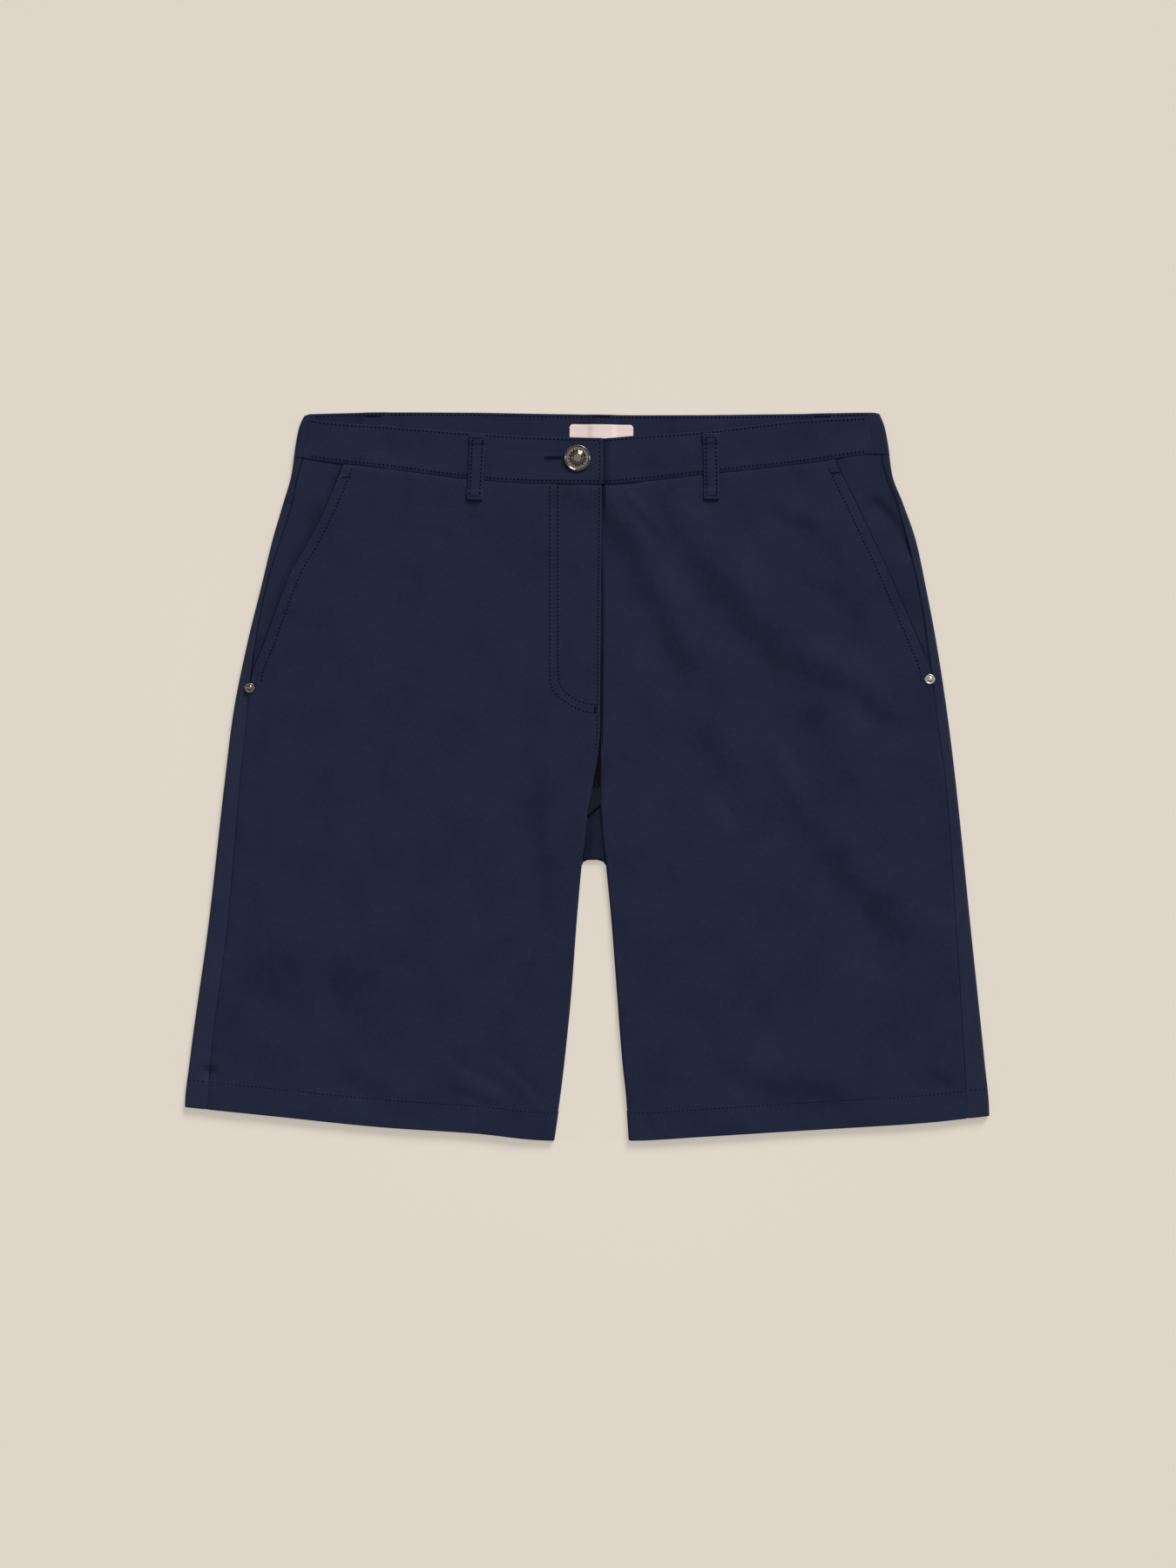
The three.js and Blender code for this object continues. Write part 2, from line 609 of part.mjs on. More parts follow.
function frontGrid(side) {
  const columns = frontColumns(side);
  const angles = spread(0, Math.PI / 2, CURL_STEPS);
  const out = OUT[side];
  const top = ROWS[side][0];
  const bottom = hemY(innerX[side](-267));
  const hemRow = bottom + HEM_DEPTH;
  const levels = [...ROWS[side], hemRow + HALF_GAP, hemRow - HALF_GAP, bottom + HEM_DEPTH / 2, bottom];
  return levels.map((level) => {
    const v = (top - level) / (top - bottom);
    const rowY = (x) => lerp(frontSeamY(x) - HALF_GAP, hemY(x), v);
    const edgeY = solveRow((y) => frontInnerX(side, y), rowY);
    const edgeX = frontInnerX(side, edgeY);
    const edgeZ = frontHeight(side, edgeX, edgeY);
    const wanted = edgeY > CURL_TABLE_Y ? edgeZ - LEAST_CURL : curlEnd[side](edgeY);
    const hemEnd = level < hemRow ? HEM_CLOTH + SEAM_GAP : 0;
    const endZ = Math.max(Math.min(wanted, edgeZ - LEAST_CURL), hemEnd);
    const radius = Math.min(CURL_RADIUS, edgeZ - endZ);
    const flat = columns.map((column) => {
      const placeX = (y) => column(y, frontInnerX(side, y) + out * radius);
      const y = solveRow(placeX, rowY);
      const x = placeX(y);
      return new THREE.Vector3(x, y, frontHeight(side, x, y));
    });
    const last = flat[flat.length - 1];
    const curl = angles.slice(1).map((a) => new THREE.Vector3(
      last.x - out * radius * Math.sin(a), edgeY, last.z - radius + radius * Math.cos(a),
    ));
    const end = new THREE.Vector3(edgeX, edgeY, Math.min(endZ, last.z - radius) - 0.05);
    return [...flat, ...curl, end];
  });
}

function frontTongue(side) {
  const { outerX, topY } = FRONT_TONGUES[side];
  const innerEnd = RISE_X + OUT[side] * HALF_GAP;
  const under = [innerEnd, outerX].map((x) => [topY, crossSeamY(x) + HALF_GAP].map(
    (y) => new THREE.Vector3(x, y, TONGUE_HEIGHT - CLOTH),
  ));
  return layer(under, CLOTH);
}

function makeFront(side) {
  const grid = frontGrid(side);
  const hemStart = grid.length - 3;
  const wall = clothWall(grid, side === 'right' ? 1 : -1, (i) => (i >= hemStart ? HEM_CLOTH : CLOTH));
  return joined(wall, frontTongue(side));
}

function makePocketFacing(side) {
  const levels = spread(0, 1, 9);
  const columns = spread(0, 1, 5);
  const endY = POCKET_END_Y + 2;
  const under = levels.map((v) => columns.map((u) => {
    const placeX = (y) => lerp(
      seamX(side, y) - OUT[side] * HALF_GAP, pocketX(side, y) - OUT[side] * FACING_UNDER_POCKET, u,
    );
    const y = solveRow(placeX, (x) => lerp(frontSeamY(x) - HALF_GAP, endY, v));
    const x = placeX(y);
    const fromSeam = Math.abs(seamX(side, y)) - Math.abs(x);
    const width = Math.max(Math.abs(seamX(side, y)) - Math.abs(pocketX(side, y)), RAMPS.facingEnd.start);
    const atSeam = lerp(FACING_HEIGHT[side], SIDE_HEIGHT, ramp(width, RAMPS.facingEnd));
    return new THREE.Vector3(x, y, lerp(atSeam, FACING_HEIGHT[side], smooth(fromSeam / width)) - CLOTH);
  }));
  return layer(under, CLOTH);
}

// Back panels, yokes and the back waistband, which all wrap round the side folds

// Columns of a piece that lies on the surface and turns up round one side fold onto the top
function wrapColumns(side, floor, radius, endX) {
  const out = OUT[side];
  const turn = (y) => sideX[side](y) - out * radius;
  const round = spread(0, Math.PI, FOLD_STEPS).slice(1).map((a) => ({
    x: (y) => turn(y) + out * radius * Math.sin(a),
    z: () => radius - radius * Math.cos(a),
    onTop: a / Math.PI,
  }));
  const top = spread(0, 1, 2).slice(1).map((u) => ({
    x: (y) => lerp(turn(y), endX(y), u), z: () => 2 * radius, onTop: 1,
  }));
  return [...floor, { x: turn, z: () => 0, onTop: 0 }, ...round, ...top];
}

// Columns on the surface at even steps from an inner edge, and at given places
function evenFloor(side, nearX, radius, steps) {
  const turn = (y) => sideX[side](y) - OUT[side] * radius;
  return spread(0, 1, steps).slice(0, -1).map((u) => ({
    x: (y) => lerp(nearX(y), turn(y), u),
    z: () => 0,
    onTop: 0,
  }));
}

function placedFloor(side, nearX) {
  const stops = liftStops(nearX, sideX[side](200) - OUT[side] * BAND_HEIGHT);
  const ordered = side === 'right' ? stops.reverse() : stops;
  return [nearX, ...ordered].map((x) => ({ x: () => x, z: () => 0, onTop: 0 }));
}

function wrapPoint(column, rowY) {
  const y = solveRow(column.x, (x) => rowY(x, column.onTop));
  const x = column.x(y);
  const lift = column.onTop === 0 ? loopLift(x, y) : 0;
  return new THREE.Vector3(x, y, column.z() + lift);
}

function backInnerX(side, y) {
  const centre = CENTRE_X + OUT[side] * HALF_GAP;
  const whole = (y - LEGS_APART_Y) / (LEGS_PART_Y - LEGS_APART_Y);
  return lerp(innerX[side](y), centre, Math.min(Math.max(whole, 0), 1));
}

function backTongue(side) {
  const { radius, run, flatY, wideY } = BACK_FOLD;
  const centre = { y: CROTCH_Y + radius, z: TONGUE_HEIGHT - radius };
  const inner = CENTRE_X + OUT[side] * (HALF_GAP + 0.05);
  const angles = spread(-Math.PI / 2, Math.PI / 2, FOLD_STEPS);
  const profile = [
    { y: centre.y + run, z: centre.z - radius },
    ...angles.map((a) => ({ y: centre.y - radius * Math.cos(a), z: centre.z + radius * Math.sin(a) })),
    { y: flatY, z: TONGUE_HEIGHT },
    { y: wideY, z: TONGUE_HEIGHT },
  ];
  const rows = profile.map(({ y, z }) => [inner, tongueX[side](y)].map((x) => new THREE.Vector3(x, y, z)));
  const outer = tongueX[side](wideY);
  rows.push([inner, outer].map((x) => new THREE.Vector3(x, crossSeamY(x) - HALF_GAP, TONGUE_HEIGHT)));
  return clothWall(rows, side === 'right' ? 1 : -1, CLOTH);
}

function makeBack(side) {
  const radius = SIDE_HEIGHT / 2;
  const floor = evenFloor(side, (y) => backInnerX(side, y), radius, 4);
  const columns = wrapColumns(side, floor, radius, (y) => seamX(side, y) + OUT[side] * HALF_GAP);
  const topY = YOKE_CENTRE_Y;
  const bottom = hemY(innerX[side](-267));
  const hemRow = bottom + HEM_DEPTH;
  const levels = [...spread(topY, -40, 12), LEGS_PART_Y, LEGS_APART_Y, ...spread(-80, -226, 7),
    hemRow + HALF_GAP, hemRow - HALF_GAP, bottom + HEM_DEPTH / 2, bottom];
  const grid = levels.map((level) => {
    const v = (topY - level) / (topY - bottom);
    const rowY = (x) => lerp(yokeSeamY(x) - HALF_GAP, hemY(x), v);
    return columns.map((column) => wrapPoint(column, rowY));
  });
  const wall = clothWall(grid, side === 'right' ? 1 : -1, (i) => (i >= grid.length - 3 ? HEM_CLOTH : CLOTH));
  return joined(wall, backTongue(side));
}

function backBandEndY(x, onTop, side) {
  return lerp(backTopY(x) - BACK_BAND_DEPTH, frontSeamY(sideX[side](230)), onTop);
}

function makeYoke(side) {
  const radius = SIDE_HEIGHT / 2;
  const floor = placedFloor(side, CENTRE_X + OUT[side] * HALF_GAP);
  const columns = wrapColumns(side, floor, radius, (y) => seamX(side, y) + OUT[side] * HALF_GAP);
  const grid = spread(0, 3, 3).map((row) => columns.map((column) => wrapPoint(column, (x, onTop) => {
    const top = backBandEndY(x, onTop, side) - HALF_GAP;
    const bottom = yokeSeamY(x) + HALF_GAP;
    return [top, LIFT_END_Y, LIFT_END_Y - LIFT_RAMP, bottom][row];
  })));
  return clothWall(grid, side === 'right' ? 1 : -1, CLOTH);
}

function makeBackBand() {
  const radius = BAND_HEIGHT / 2;
  const columnsFor = (side) => wrapColumns(
    side, placedFloor(side, CENTRE_X), radius, (y) => bandSeamX[side](y) + OUT[side] * HALF_GAP,
  );
  const right = columnsFor('right');
  const left = columnsFor('left');
  const rowFor = (side) => [0, 0.5, 1].map((v) => (x, onTop) => {
    const top = lerp(backTopY(x), frontTopY(sideX[side](265)), onTop);
    return lerp(top, backBandEndY(x, onTop, side) + HALF_GAP, v);
  });
  const grid = [0, 1, 2].map((i) => [
    ...[...right].reverse().map((column) => wrapPoint(column, rowFor('right')[i])),
    ...left.slice(1).map((column) => wrapPoint(column, rowFor('left')[i])),
  ]);
  return clothWall(grid, -1, BAND_CLOTH);
}

// Front waistband

function frontBandGrid(side, nearX, steps) {
  return [0, 0.5, 1].map((v) => spread(0, 1, steps).map((u) => {
    const placeX = (y) => lerp(bandSeamX[side](y) - OUT[side] * HALF_GAP, nearX, u);
    const y = solveRow(placeX, (x) => lerp(frontTopY(x), frontSeamY(x) + HALF_GAP, v));
    const x = placeX(y);
    return new THREE.Vector3(x, y, bandHeight(side, x) - BAND_CLOTH);
  }));
}

function buttonholeCut() {
  const { clearance, eyeRadius, width, startX } = BUTTONHOLE;
  const half = width / 2;
  const meet = Math.sqrt(eyeRadius ** 2 - half ** 2);
  const opening = Math.asin(half / eyeRadius);
  const shape = new THREE.Shape();
  shape.moveTo(startX, BUTTON.y - half);
  shape.lineTo(BUTTON.x - meet, BUTTON.y - half);
  shape.absarc(BUTTON.x, BUTTON.y, eyeRadius, Math.PI + opening, 3 * Math.PI - opening, false);
  shape.lineTo(startX, BUTTON.y + half);
  const depth = 2 * BAND_CLOTH;
  const cut = new THREE.ExtrudeGeometry(shape, { depth, bevelEnabled: false, curveSegments: 16 });
  cut.translate(0, 0, TAB_HEIGHT - depth + clearance);
  return cut;
}

function makeRightFrontBand() {
  const band = layer(frontBandGrid('right', TAB_END_X, 16), BAND_CLOTH);
  return fromManifold(toManifold(band).subtract(toManifold(buttonholeCut())));
}

function makeLeftFrontBand() {
  return layer(frontBandGrid('left', BAND_UNDERLAP_X, 18), BAND_CLOTH);
}

// Belt loops

function topSurface(side, x, y) {
  return Math.max(bandHeight(side, x), frontHeight(side, x, y));
}

// Both ends of a loop are folded under, so they are thicker
function makeFrontLoop({ topX, endX, topY }) {
  const side = topX < 0 ? 'right' : 'left';
  const [topFold, lowFold] = LOOP_FOLD_ENDS;
  const folded = (v) => v < topFold || v > lowFold;
  const under = FRONT_LOOP_ROWS.map((v) => [-0.5, 0, 0.5].map((u) => {
    const x = lerp(topX, endX, v) + u * LOOP_WIDTH;
    const y = topY - v * LOOP_LENGTH;
    return new THREE.Vector3(x, y, topSurface(side, x, y) + SEAM_GAP);
  }));
  return layer(under, (i) => LOOP_CLOTH + (folded(FRONT_LOOP_ROWS[i]) ? LOOP_END_FOLD : 0));
}

function makeBackLoop({ x }) {
  const under = [0, 0.5, 1].map((v) => [-0.5, 0, 0.5].map(
    (u) => new THREE.Vector3(x + u * LOOP_WIDTH, BACK_LOOP_TOP_Y - v * LOOP_LENGTH, 0),
  ));
  return layer(under, BACK_LOOP_CLOTH);
}

// Zip, label and hardware

function makeZip() {
  const { x, tapeWidth, chainWidth, chainSlope, topY, endY } = ZIP;
  const { tape, chain } = ZIP_HEIGHT;
  const base = UNDERLAP_HEIGHT + SEAM_GAP;
  const edge = tapeWidth / 2;
  const inner = chainWidth / 2;
  const across = [-edge, -inner - chainSlope, -inner, inner, inner + chainSlope, edge];
  const heights = [tape, tape, chain, chain, tape, tape];
  const under = spread(topY, endY, 6).map((y) => across.map((dx) => new THREE.Vector3(x + dx, y, base)));
  return layer(under, (i, j) => heights[j]);
}

function makeLabel() {
  const ends = [LABEL.x - LABEL.width / 2, LABEL.x + LABEL.width / 2];
  const columns = [ends[0], ...liftStops(...ends), ends[1]];
  const under = [0, 0.5, 1].map((v) => columns.map((x) => {
    const y = LABEL.topY - v * LABEL.height;
    return new THREE.Vector3(x, y, BAND_CLOTH + SEAM_GAP + loopLift(x, y));
  }));
  return layer(under, LABEL.cloth);
}

// A shank from the underlap up through the buttonhole, under a domed head with a rim
function makeButton() {
  const { radius, rimHeight, domeHeight, shankRadius } = BUTTON;
  const { chamfer, rimStart, rimEnd, hollow } = BUTTON_EDGE;
  const foot = TAB_HEIGHT - BAND_CLOTH;
  const head = TAB_HEIGHT + SEAM_GAP;
  const domeFoot = head + rimHeight - hollow;
  const domeRise = head + domeHeight - domeFoot;
  const dome = spread(0, Math.PI / 2, 4).slice(1).map((a) => new THREE.Vector2(
    (radius - rimEnd) * Math.cos(a), domeFoot + domeRise * Math.sin(a),
  ));
  dome[dome.length - 1].x = 0;
  const profile = [
    new THREE.Vector2(0, foot),
    new THREE.Vector2(shankRadius, foot),
    new THREE.Vector2(shankRadius, head),
    new THREE.Vector2(radius - chamfer, head),
    new THREE.Vector2(radius, head + chamfer),
    new THREE.Vector2(radius - rimStart, head + rimHeight),
    new THREE.Vector2(radius - rimEnd, domeFoot),
    ...dome,
  ];
  return standing(new THREE.LatheGeometry(profile, 28), BUTTON.x, BUTTON.y);
}

function makeRivet(side) {
  const { radius, rimHeight, domeRadius, domeHeight } = RIVET;
  const seat = POCKET_HEIGHT + SEAM_GAP;
  const profile = [
    new THREE.Vector2(0, seat),
    new THREE.Vector2(radius, seat),
    new THREE.Vector2(radius, seat + rimHeight),
    new THREE.Vector2(RIVET_SHOULDER.radius, seat + RIVET_SHOULDER.height),
    new THREE.Vector2(domeRadius, seat + domeHeight),
    new THREE.Vector2(0, seat + domeHeight),
  ];
  return standing(new THREE.LatheGeometry(profile, 18), RIVET_X[side], RIVET_Y[side]);
}

// A lathe turns about Y: this stands it up along Z at a place
function standing(geometry, x, y) {
  geometry.rotateX(Math.PI / 2);
  geometry.deleteAttribute('normal');
  geometry.deleteAttribute('uv');
  const merged = mergeVertices(geometry, 1e-4);
  merged.translate(x, y, 0);
  return merged;
}

// The whole garment

function cloth(color) {
  return new THREE.MeshStandardMaterial({ color, roughness: 0.9, metalness: 0 });
}

function metal(color) {
  return new THREE.MeshStandardMaterial({ color, roughness: 0.3, metalness: 1 });
}

const shorts = new THREE.Group();

function add(name, geometry, material) {
  const mesh = new THREE.Mesh(geometry, material);
  mesh.name = name;
  shorts.add(mesh);
}

for (const side of ['right', 'left']) {
  add(`${side}_front`, makeFront(side), cloth(NAVY));
  add(`${side}_pocket_facing`, makePocketFacing(side), cloth(NAVY));
  add(`${side}_back`, makeBack(side), cloth(NAVY));
  add(`${side}_yoke`, makeYoke(side), cloth(NAVY));
  add(`${side}_rivet`, makeRivet(side), metal(STEEL));
}
add('waistband_back', makeBackBand(), cloth(NAVY));
add('waistband_right_front', makeRightFrontBand(), cloth(NAVY));
add('waistband_left_front', makeLeftFrontBand(), cloth(NAVY));
for (const loop of FRONT_LOOPS) add(loop.name, makeFrontLoop(loop), cloth(NAVY));
for (const loop of BACK_LOOPS) add(loop.name, makeBackLoop(loop), cloth(NAVY));
add('fly_zip', makeZip(), cloth(NAVY_DARK));
add('label', makeLabel(), cloth(PINK));
add('button', makeButton(), metal(STEEL));

export default shorts;
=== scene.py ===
"""Bermuda shorts of navy cotton, laid flat with the front side up.

Tables and sizes are in millimetres, and meshes are made in metres. X runs towards the wearer's left,
Y towards the waist and Z up from the floor. Right and left are the wearer's.
"""

import math

import bmesh
import bpy
import numpy as np
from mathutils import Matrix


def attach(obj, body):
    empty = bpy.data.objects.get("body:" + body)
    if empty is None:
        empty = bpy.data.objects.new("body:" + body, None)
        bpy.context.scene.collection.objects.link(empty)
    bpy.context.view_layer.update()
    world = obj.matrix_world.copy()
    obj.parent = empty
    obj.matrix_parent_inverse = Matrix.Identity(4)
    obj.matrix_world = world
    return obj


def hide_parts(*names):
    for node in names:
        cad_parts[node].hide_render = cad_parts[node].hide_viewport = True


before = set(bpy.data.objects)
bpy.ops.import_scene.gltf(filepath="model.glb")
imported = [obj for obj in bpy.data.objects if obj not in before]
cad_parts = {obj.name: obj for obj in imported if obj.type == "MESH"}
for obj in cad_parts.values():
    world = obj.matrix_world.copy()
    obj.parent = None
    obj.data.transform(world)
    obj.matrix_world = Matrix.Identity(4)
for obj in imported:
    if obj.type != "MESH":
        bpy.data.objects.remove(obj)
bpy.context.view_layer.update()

MM = 0.001

# Cloth and seams
SEAM_GAP = 0.3
SEAM_MEET = 0.42  # of a sheet's thickness, from a seam's line to the middle of its rounded edge
RIM_POWER = 0.6  # below 1, an edge is squarer than a half circle
SHEET = 0.9
HEM_SHEET = 1.6
BAND_SHEET = 1.4
HEM_DEPTH = 20.5
UNDER = 0.3  # the lowest cloth lies on its stitches, this far above the floor

# Heights of the outer surfaces above the floor
LOFT = 5.2
SIDE_HEIGHT = 4.8
INSEAM_HEIGHT = 4.6
BAND_HEIGHT = 5.2
TAB_HEIGHT = 7.7
FLY_HEIGHT = 6.0
FLY_TOP_HEIGHT = 7.0
UNDERLAP_HEIGHT = 3.0
POCKET_HEIGHT = 6.0
FACING_HEIGHT = {"right": 3.5, "left": 4.6}
PINCH = {"x": -277, "y": -216, "depth": 2.6, "width": 5, "above": 2.4, "below": 6}
FLY_GROOVE = (0.5, 2.2)  # start and width of the slope where the left front comes up beside the fly
UNDER_TAB = 1.8  # the left front band lies this far below the tab's surface
TONGUE_HEIGHT = 3.3
SEAM_ROW = (58, 25)  # down from this place, over this length, the front falls to its side seam
LEG_ROW = (-50, 25)  # the same for its inseam
FLY_RAMP = (-65, 31)  # start and width of the rise onto the fly, towards the middle
BAND_RAMP = 34  # width of the rise of the waistband onto its underlap
# Above DEEPEST_Y the tongues in the opening under the fly are painted near-black shade.
DEEPEST_Y = -9  # above this the opening under the fly is in deep shade

# Places along X and Y
CENTRE_X = 3.3
RISE_X = 5.0
TAB_END_X = 11.7
BAND_UNDERLAP_X = -42
UNDERLAP_X = -34
UNDERLAP_END_Y = 62
UNDERLAP_START_Y = 30
FLY_END_Y = 28
FLY_LENGTH = 186
FLY_EDGE_X = (9.2, 10.9)  # at the fly's lower end and at the waistband
FRONT_TOP_Y = 213.7
LOWEST_Y = -267
POCKET_END_Y = 64.6
CROTCH_Y = -61.5
BACK_BAND_DEPTH = 34
YOKE_SIDE_Y = 199.5
YOKE_CENTRE_Y = 176
HALF_WAIST = 217
FACING_UNDER_POCKET = 22
# The facing's strips along its side seam and at the pocket's mouth are painted deep shade.
SEAM_STRIP = {"right": 0.4, "left": 0.8}  # dark strip along the facing's side seam
MOUTH_STRIP = 1.1  # dark strip of the facing just outside the pocket's mouth
CURL_RADIUS = 2.1
LEAST_CURL = 1.2

# Belt loops
LOOP_WIDTH = 11
LOOP_LENGTH = 47
LOOP_SHEET = 1.2
LOOP_END_FOLD = 0.7
BACK_LOOP_SHEET = 1.0
LOOP_LIFT = BACK_LOOP_SHEET + SEAM_GAP
LIFT_RAMP = 5
LIFT_REACH = LOOP_WIDTH / 2 + 0.8
BACK_LOOP_TOP_Y = 264
LIFT_END_Y = BACK_LOOP_TOP_Y - LOOP_LENGTH - 2

# Stitches
STITCH_PITCH = 2.9
STITCH = {"length": 1.5, "width": 0.95, "height": 0.42}
STITCH_SINK = 0.15  # a stitch lies this deep in the cloth
HEM_STITCH_Y = 20  # above the hem's edge
HEM_STITCH_SINK = 0.28
LOOP_STITCH_INSET = 1.2
THREAD_WIDTH = 0.42
THREAD_LIFT = 0.08  # of the middle of a bartack's or buttonhole's thread above the cloth

BUTTON = {"x": -7.1, "y": 233, "radius": 9.5}
BEADS = {"count": 16, "ring": 6.3, "radius": 0.8}
BUTTONHOLE = {"start": -31, "end": -9, "y": 233.4, "width": 1.0}
PURL = {"length": 1.1, "width": 0.5, "height": 0.42}
LABEL = {"x": 10.5, "width": 47, "top": 258, "height": 20}
ZIP = {"x": -10, "tape": 28, "top": 206, "end": 64}


def table(columns, rows):
    """A table with named columns, as a column of numbers for each name."""
    names = columns.split()
    return {name: np.array([row[i] for row in rows], float) for i, name in enumerate(names)}


SIDES = table("y right left", [
    (266.5, -206.5, 214.2),
    (256.6, -211.2, 218.2),
    (243.8, -213.8, 220.8),
    (221.4, -217.0, 223.9),
    (199.0, -223.4, 232.3),
    (173.0, -231.0, 241.3),
    (141.0, -238.7, 248.2),
    (96.6, -249.6, 256.6),
    (45.4, -259.8, 264.4),
    (-5.8, -266.2, 270.7),
    (-108, -277.8, 281.2),
    (-210, -291.8, 291.8),
    (-242.5, -295.2, 295.0),
    (-249.0, -295.2, 295.2),
])
SIDE_SEAMS = table("y right left", [
    (232, -209.0, 216.6),
    (219, -213.0, 220.2),
    (199, -217.2, 227.9),
    (173, -225.5, 235.2),
    (148, -233.4, 241.4),
    (122, -239.6, 246.6),
    (79, -246.3, 252.4),
    (45, -249.6, 256.4),
    (-6, -255.0, 263.2),
    (-108, -264.0, 270.6),
    (-210, -276.6, 276.8),
    (-250, -279.5, 279.2),
])
POCKET_MOUTHS = table("y right left", [
    (230, -178.2, 182.3),
    (200, -190.1, 197.0),
    (170, -205.0, 211.2),
    (150, -216.8, 220.7),
    (122, -227.8, 232.8),
    (94, -238.0, 245.0),
    (78, -244.6, 251.2),
    (64, -247.6, 253.6),
])
INNER_EDGES = table("y right left", [
    (28, 9.2, 9.6),
    (13, 7.4, 9.6),
    (-1, 5.0, 9.6),
    (-17, 2.3, 9.7),
    (-28, 0.3, 10.2),
    (-44, -1.6, 11.4),
    (-62, -3.6, 13.4),
    (-108, -7.7, 17.9),
    (-159, -11.5, 21.8),
    (-210, -16.6, 25.8),
    (-236, -19.8, 28.6),
    (-267.2, -24.3, 30.8),
])
WAIST = table("x back_top front_top front_seam", [
    (-214, 265.6, 265.4, 233.6),
    (-195, 266.2, 260.6, 230.9),
    (-142, 267.2, 256.6, 224.8),
    (-87, 267.0, 252.2, 217.8),
    (-40, 266.2, 249.3, 214.5),
    (11, 265.4, 247.8, 213.9),
    (35, 265.1, 249.6, 215.5),
    (81, 265.2, 252.8, 220.6),
    (128, 265.7, 258.2, 225.7),
    (160, 266.1, 261.4, 229.2),
    (205, 267.0, 263.9, 235.4),
    (221, 266.8, 266.6, 236.0),
])
BAND_SEAMS = table("y right left", [
    (234, -209.2, 211.0),
    (265, -202.8, 205.7),
])
HEMS = table("x y", [
    (-295.2, -242.5),
    (-229, -249.3),
    (-150, -257.3),
    (-83, -261.8),
    (-24, -267.2),
    (31, -267.2),
    (84, -264.3),
    (145, -260.5),
    (247, -254.1),
    (295.2, -249.0),
])
CURL_ENDS = {
    "right": table("y z", [
        (0, 3.65), (-5, 2.8), (-27.5, 2.8), (-30.3, 3.65), (-55, 3.65), (-64, 1.3),
    ]),
    "left": table("y z", [
        (14, 2.8), (-18.5, 2.8), (-21.5, 3.65), (-55, 3.65), (-64, 1.3),
    ]),
}
# dark: how far to each side of the cross seam the tongues are painted near-black shade.
CROSS_SEAM = {"x": 1.3, "y": -29.4, "slope": 0.84, "dark": 2.2}
BACK_TONGUE = table("y right left", [
    (-59.9, -2.2, 12.0),
    (-56, -2.2, 12.0),
    (-47, -8, 18),
    (-30, -8, 18),
])

FOLD_PEAK = 2.33  # makes a fold's crest as high as its rise

# Soft folds of the fronts, each along a bend through three places. Its crest lies on the left of the run
# and its hollow on the right, each at 0.7 of the width, and the rise is the height of the crest.
FOLDS = table("x1 y1 x2 y2 x3 y3 width rise", [
    (-12, 243, 42, 145, 88, 40, 19, 2.2),
    (30, 228, 94, 140, 162, 68, 21, 1.6),
    (146, 90, 192, 64, 252, 30, 15, 1.1),
    (140, 100, 172, 35, 205, -50, 26, 1.8),
    (116, 34, 178, -56, 262, -160, 24, 1.7),
    (76, 58, 98, 8, 136, -44, 17, 1.0),
    (118, 48, 152, 2, 174, -40, 10, -0.6),
    (126, 204, 153, 188, 176, 177, 11, 0.7),
    (146, 152, 168, 142, 196, 128, 11, 0.45),
    (88, -206, 135, -226, 205, -231, 18, 1.3),
    (-38, 140, -50, 105, -66, 60, 8, 0.7),
    (-34, 150, -52, 40, -64, -120, 16, -1.3),
    (-36, 30, -34, -40, -28, -120, 15, 1.1),
    (-276, -158, -204, -142, -124, -166, 34, 1.5),
    (-208, -76, -192, -116, -172, -158, 16, 0.5),
    (-190, -212, -150, -232, -120, -247, 13, 0.7),
    (-250, 40, -238, -30, -240, -110, 14, 0.5),
])
# Finer creases, which the cloth shows beside the main folds
CREASES = table("x1 y1 x2 y2 x3 y3 width rise", [
    (20, 212, 38, 193, 60, 168, 5.5, 0.6),
    (52, 210, 75, 196, 94, 184, 4, -0.25),
    (203, 165, 209, 138, 212, 108, 5, -0.35),
    (246, -212, 262, -222, 274, -230, 4, 0.35),
    (-44, 194, -28, 191, -14, 193, 2.6, 0.22),
    (-56, 187, -32, 180, -14, 178, 2.6, 0.25),
    (-38, 172, -27, 169, -14, 170, 2.4, 0.2),
    (-76, -200, -52, -222, -26, -248, 4, -0.4),
    (-104, -224, -85, -233, -62, -242, 4.5, 0.4),
    (-106, -208, -80, -222, -54, -236, 4, -0.3),
    (-242, 62, -245, 25, -249, -10, 5, -0.35),
    (-206, -90, -194, -122, -176, -160, 15, -0.2),
    (-228, -158, -199, -138, -170, -158, 16, 0.3),
    (-244, -182, -198, -164, -152, -188, 22, 0.8),
    (-160, 194, -125, 183, -85, 176, 9, 0.25),
    (-186, -6, -165, -35, -140, -74, 12, 0.25),
    (-4, 134, -2, 105, 0, 66, 6, 0.25),
    (40, 0, 46, -32, 52, -70, 8, -0.25),
    (92, -14, 106, -40, 120, -72, 8, -0.3),
    (44, -84, 46, -116, 44, -150, 8, 0.3),
])
FRONT_LOOPS = {"right": (-80.2, -82.4, 250), "left": (90.6, 91.4, 250.6)}
BACK_LOOPS = {"right_back_loop": -156.5, "centre_back_loop": 11, "left_back_loop": 172.5}
OUT = {"right": -1, "left": 1}


# Numbers and curves


def lerp(a, b, t):
    return a + (b - a) * t


def smooth(t):
    """Rises from 0 to 1 as t does, level at both ends."""
    c = np.clip(t, 0, 1)
    return c * c * (3 - 2 * c)


def bell(t):
    """A bump of height 1 at 0 that falls away on both sides."""
    return np.exp(-(t**2))


def steps_down(count, start=0, end=1):
    return np.linspace(start, end, count)[:, None]


def steps_across(count, start=0, end=1):
    return np.linspace(start, end, count)[None, :]


def xyz(x, y, z):
    """Points of a line or a grid, whose coordinates may each run along one side of it only."""
    return np.stack(np.broadcast_arrays(x, y, z), -1)


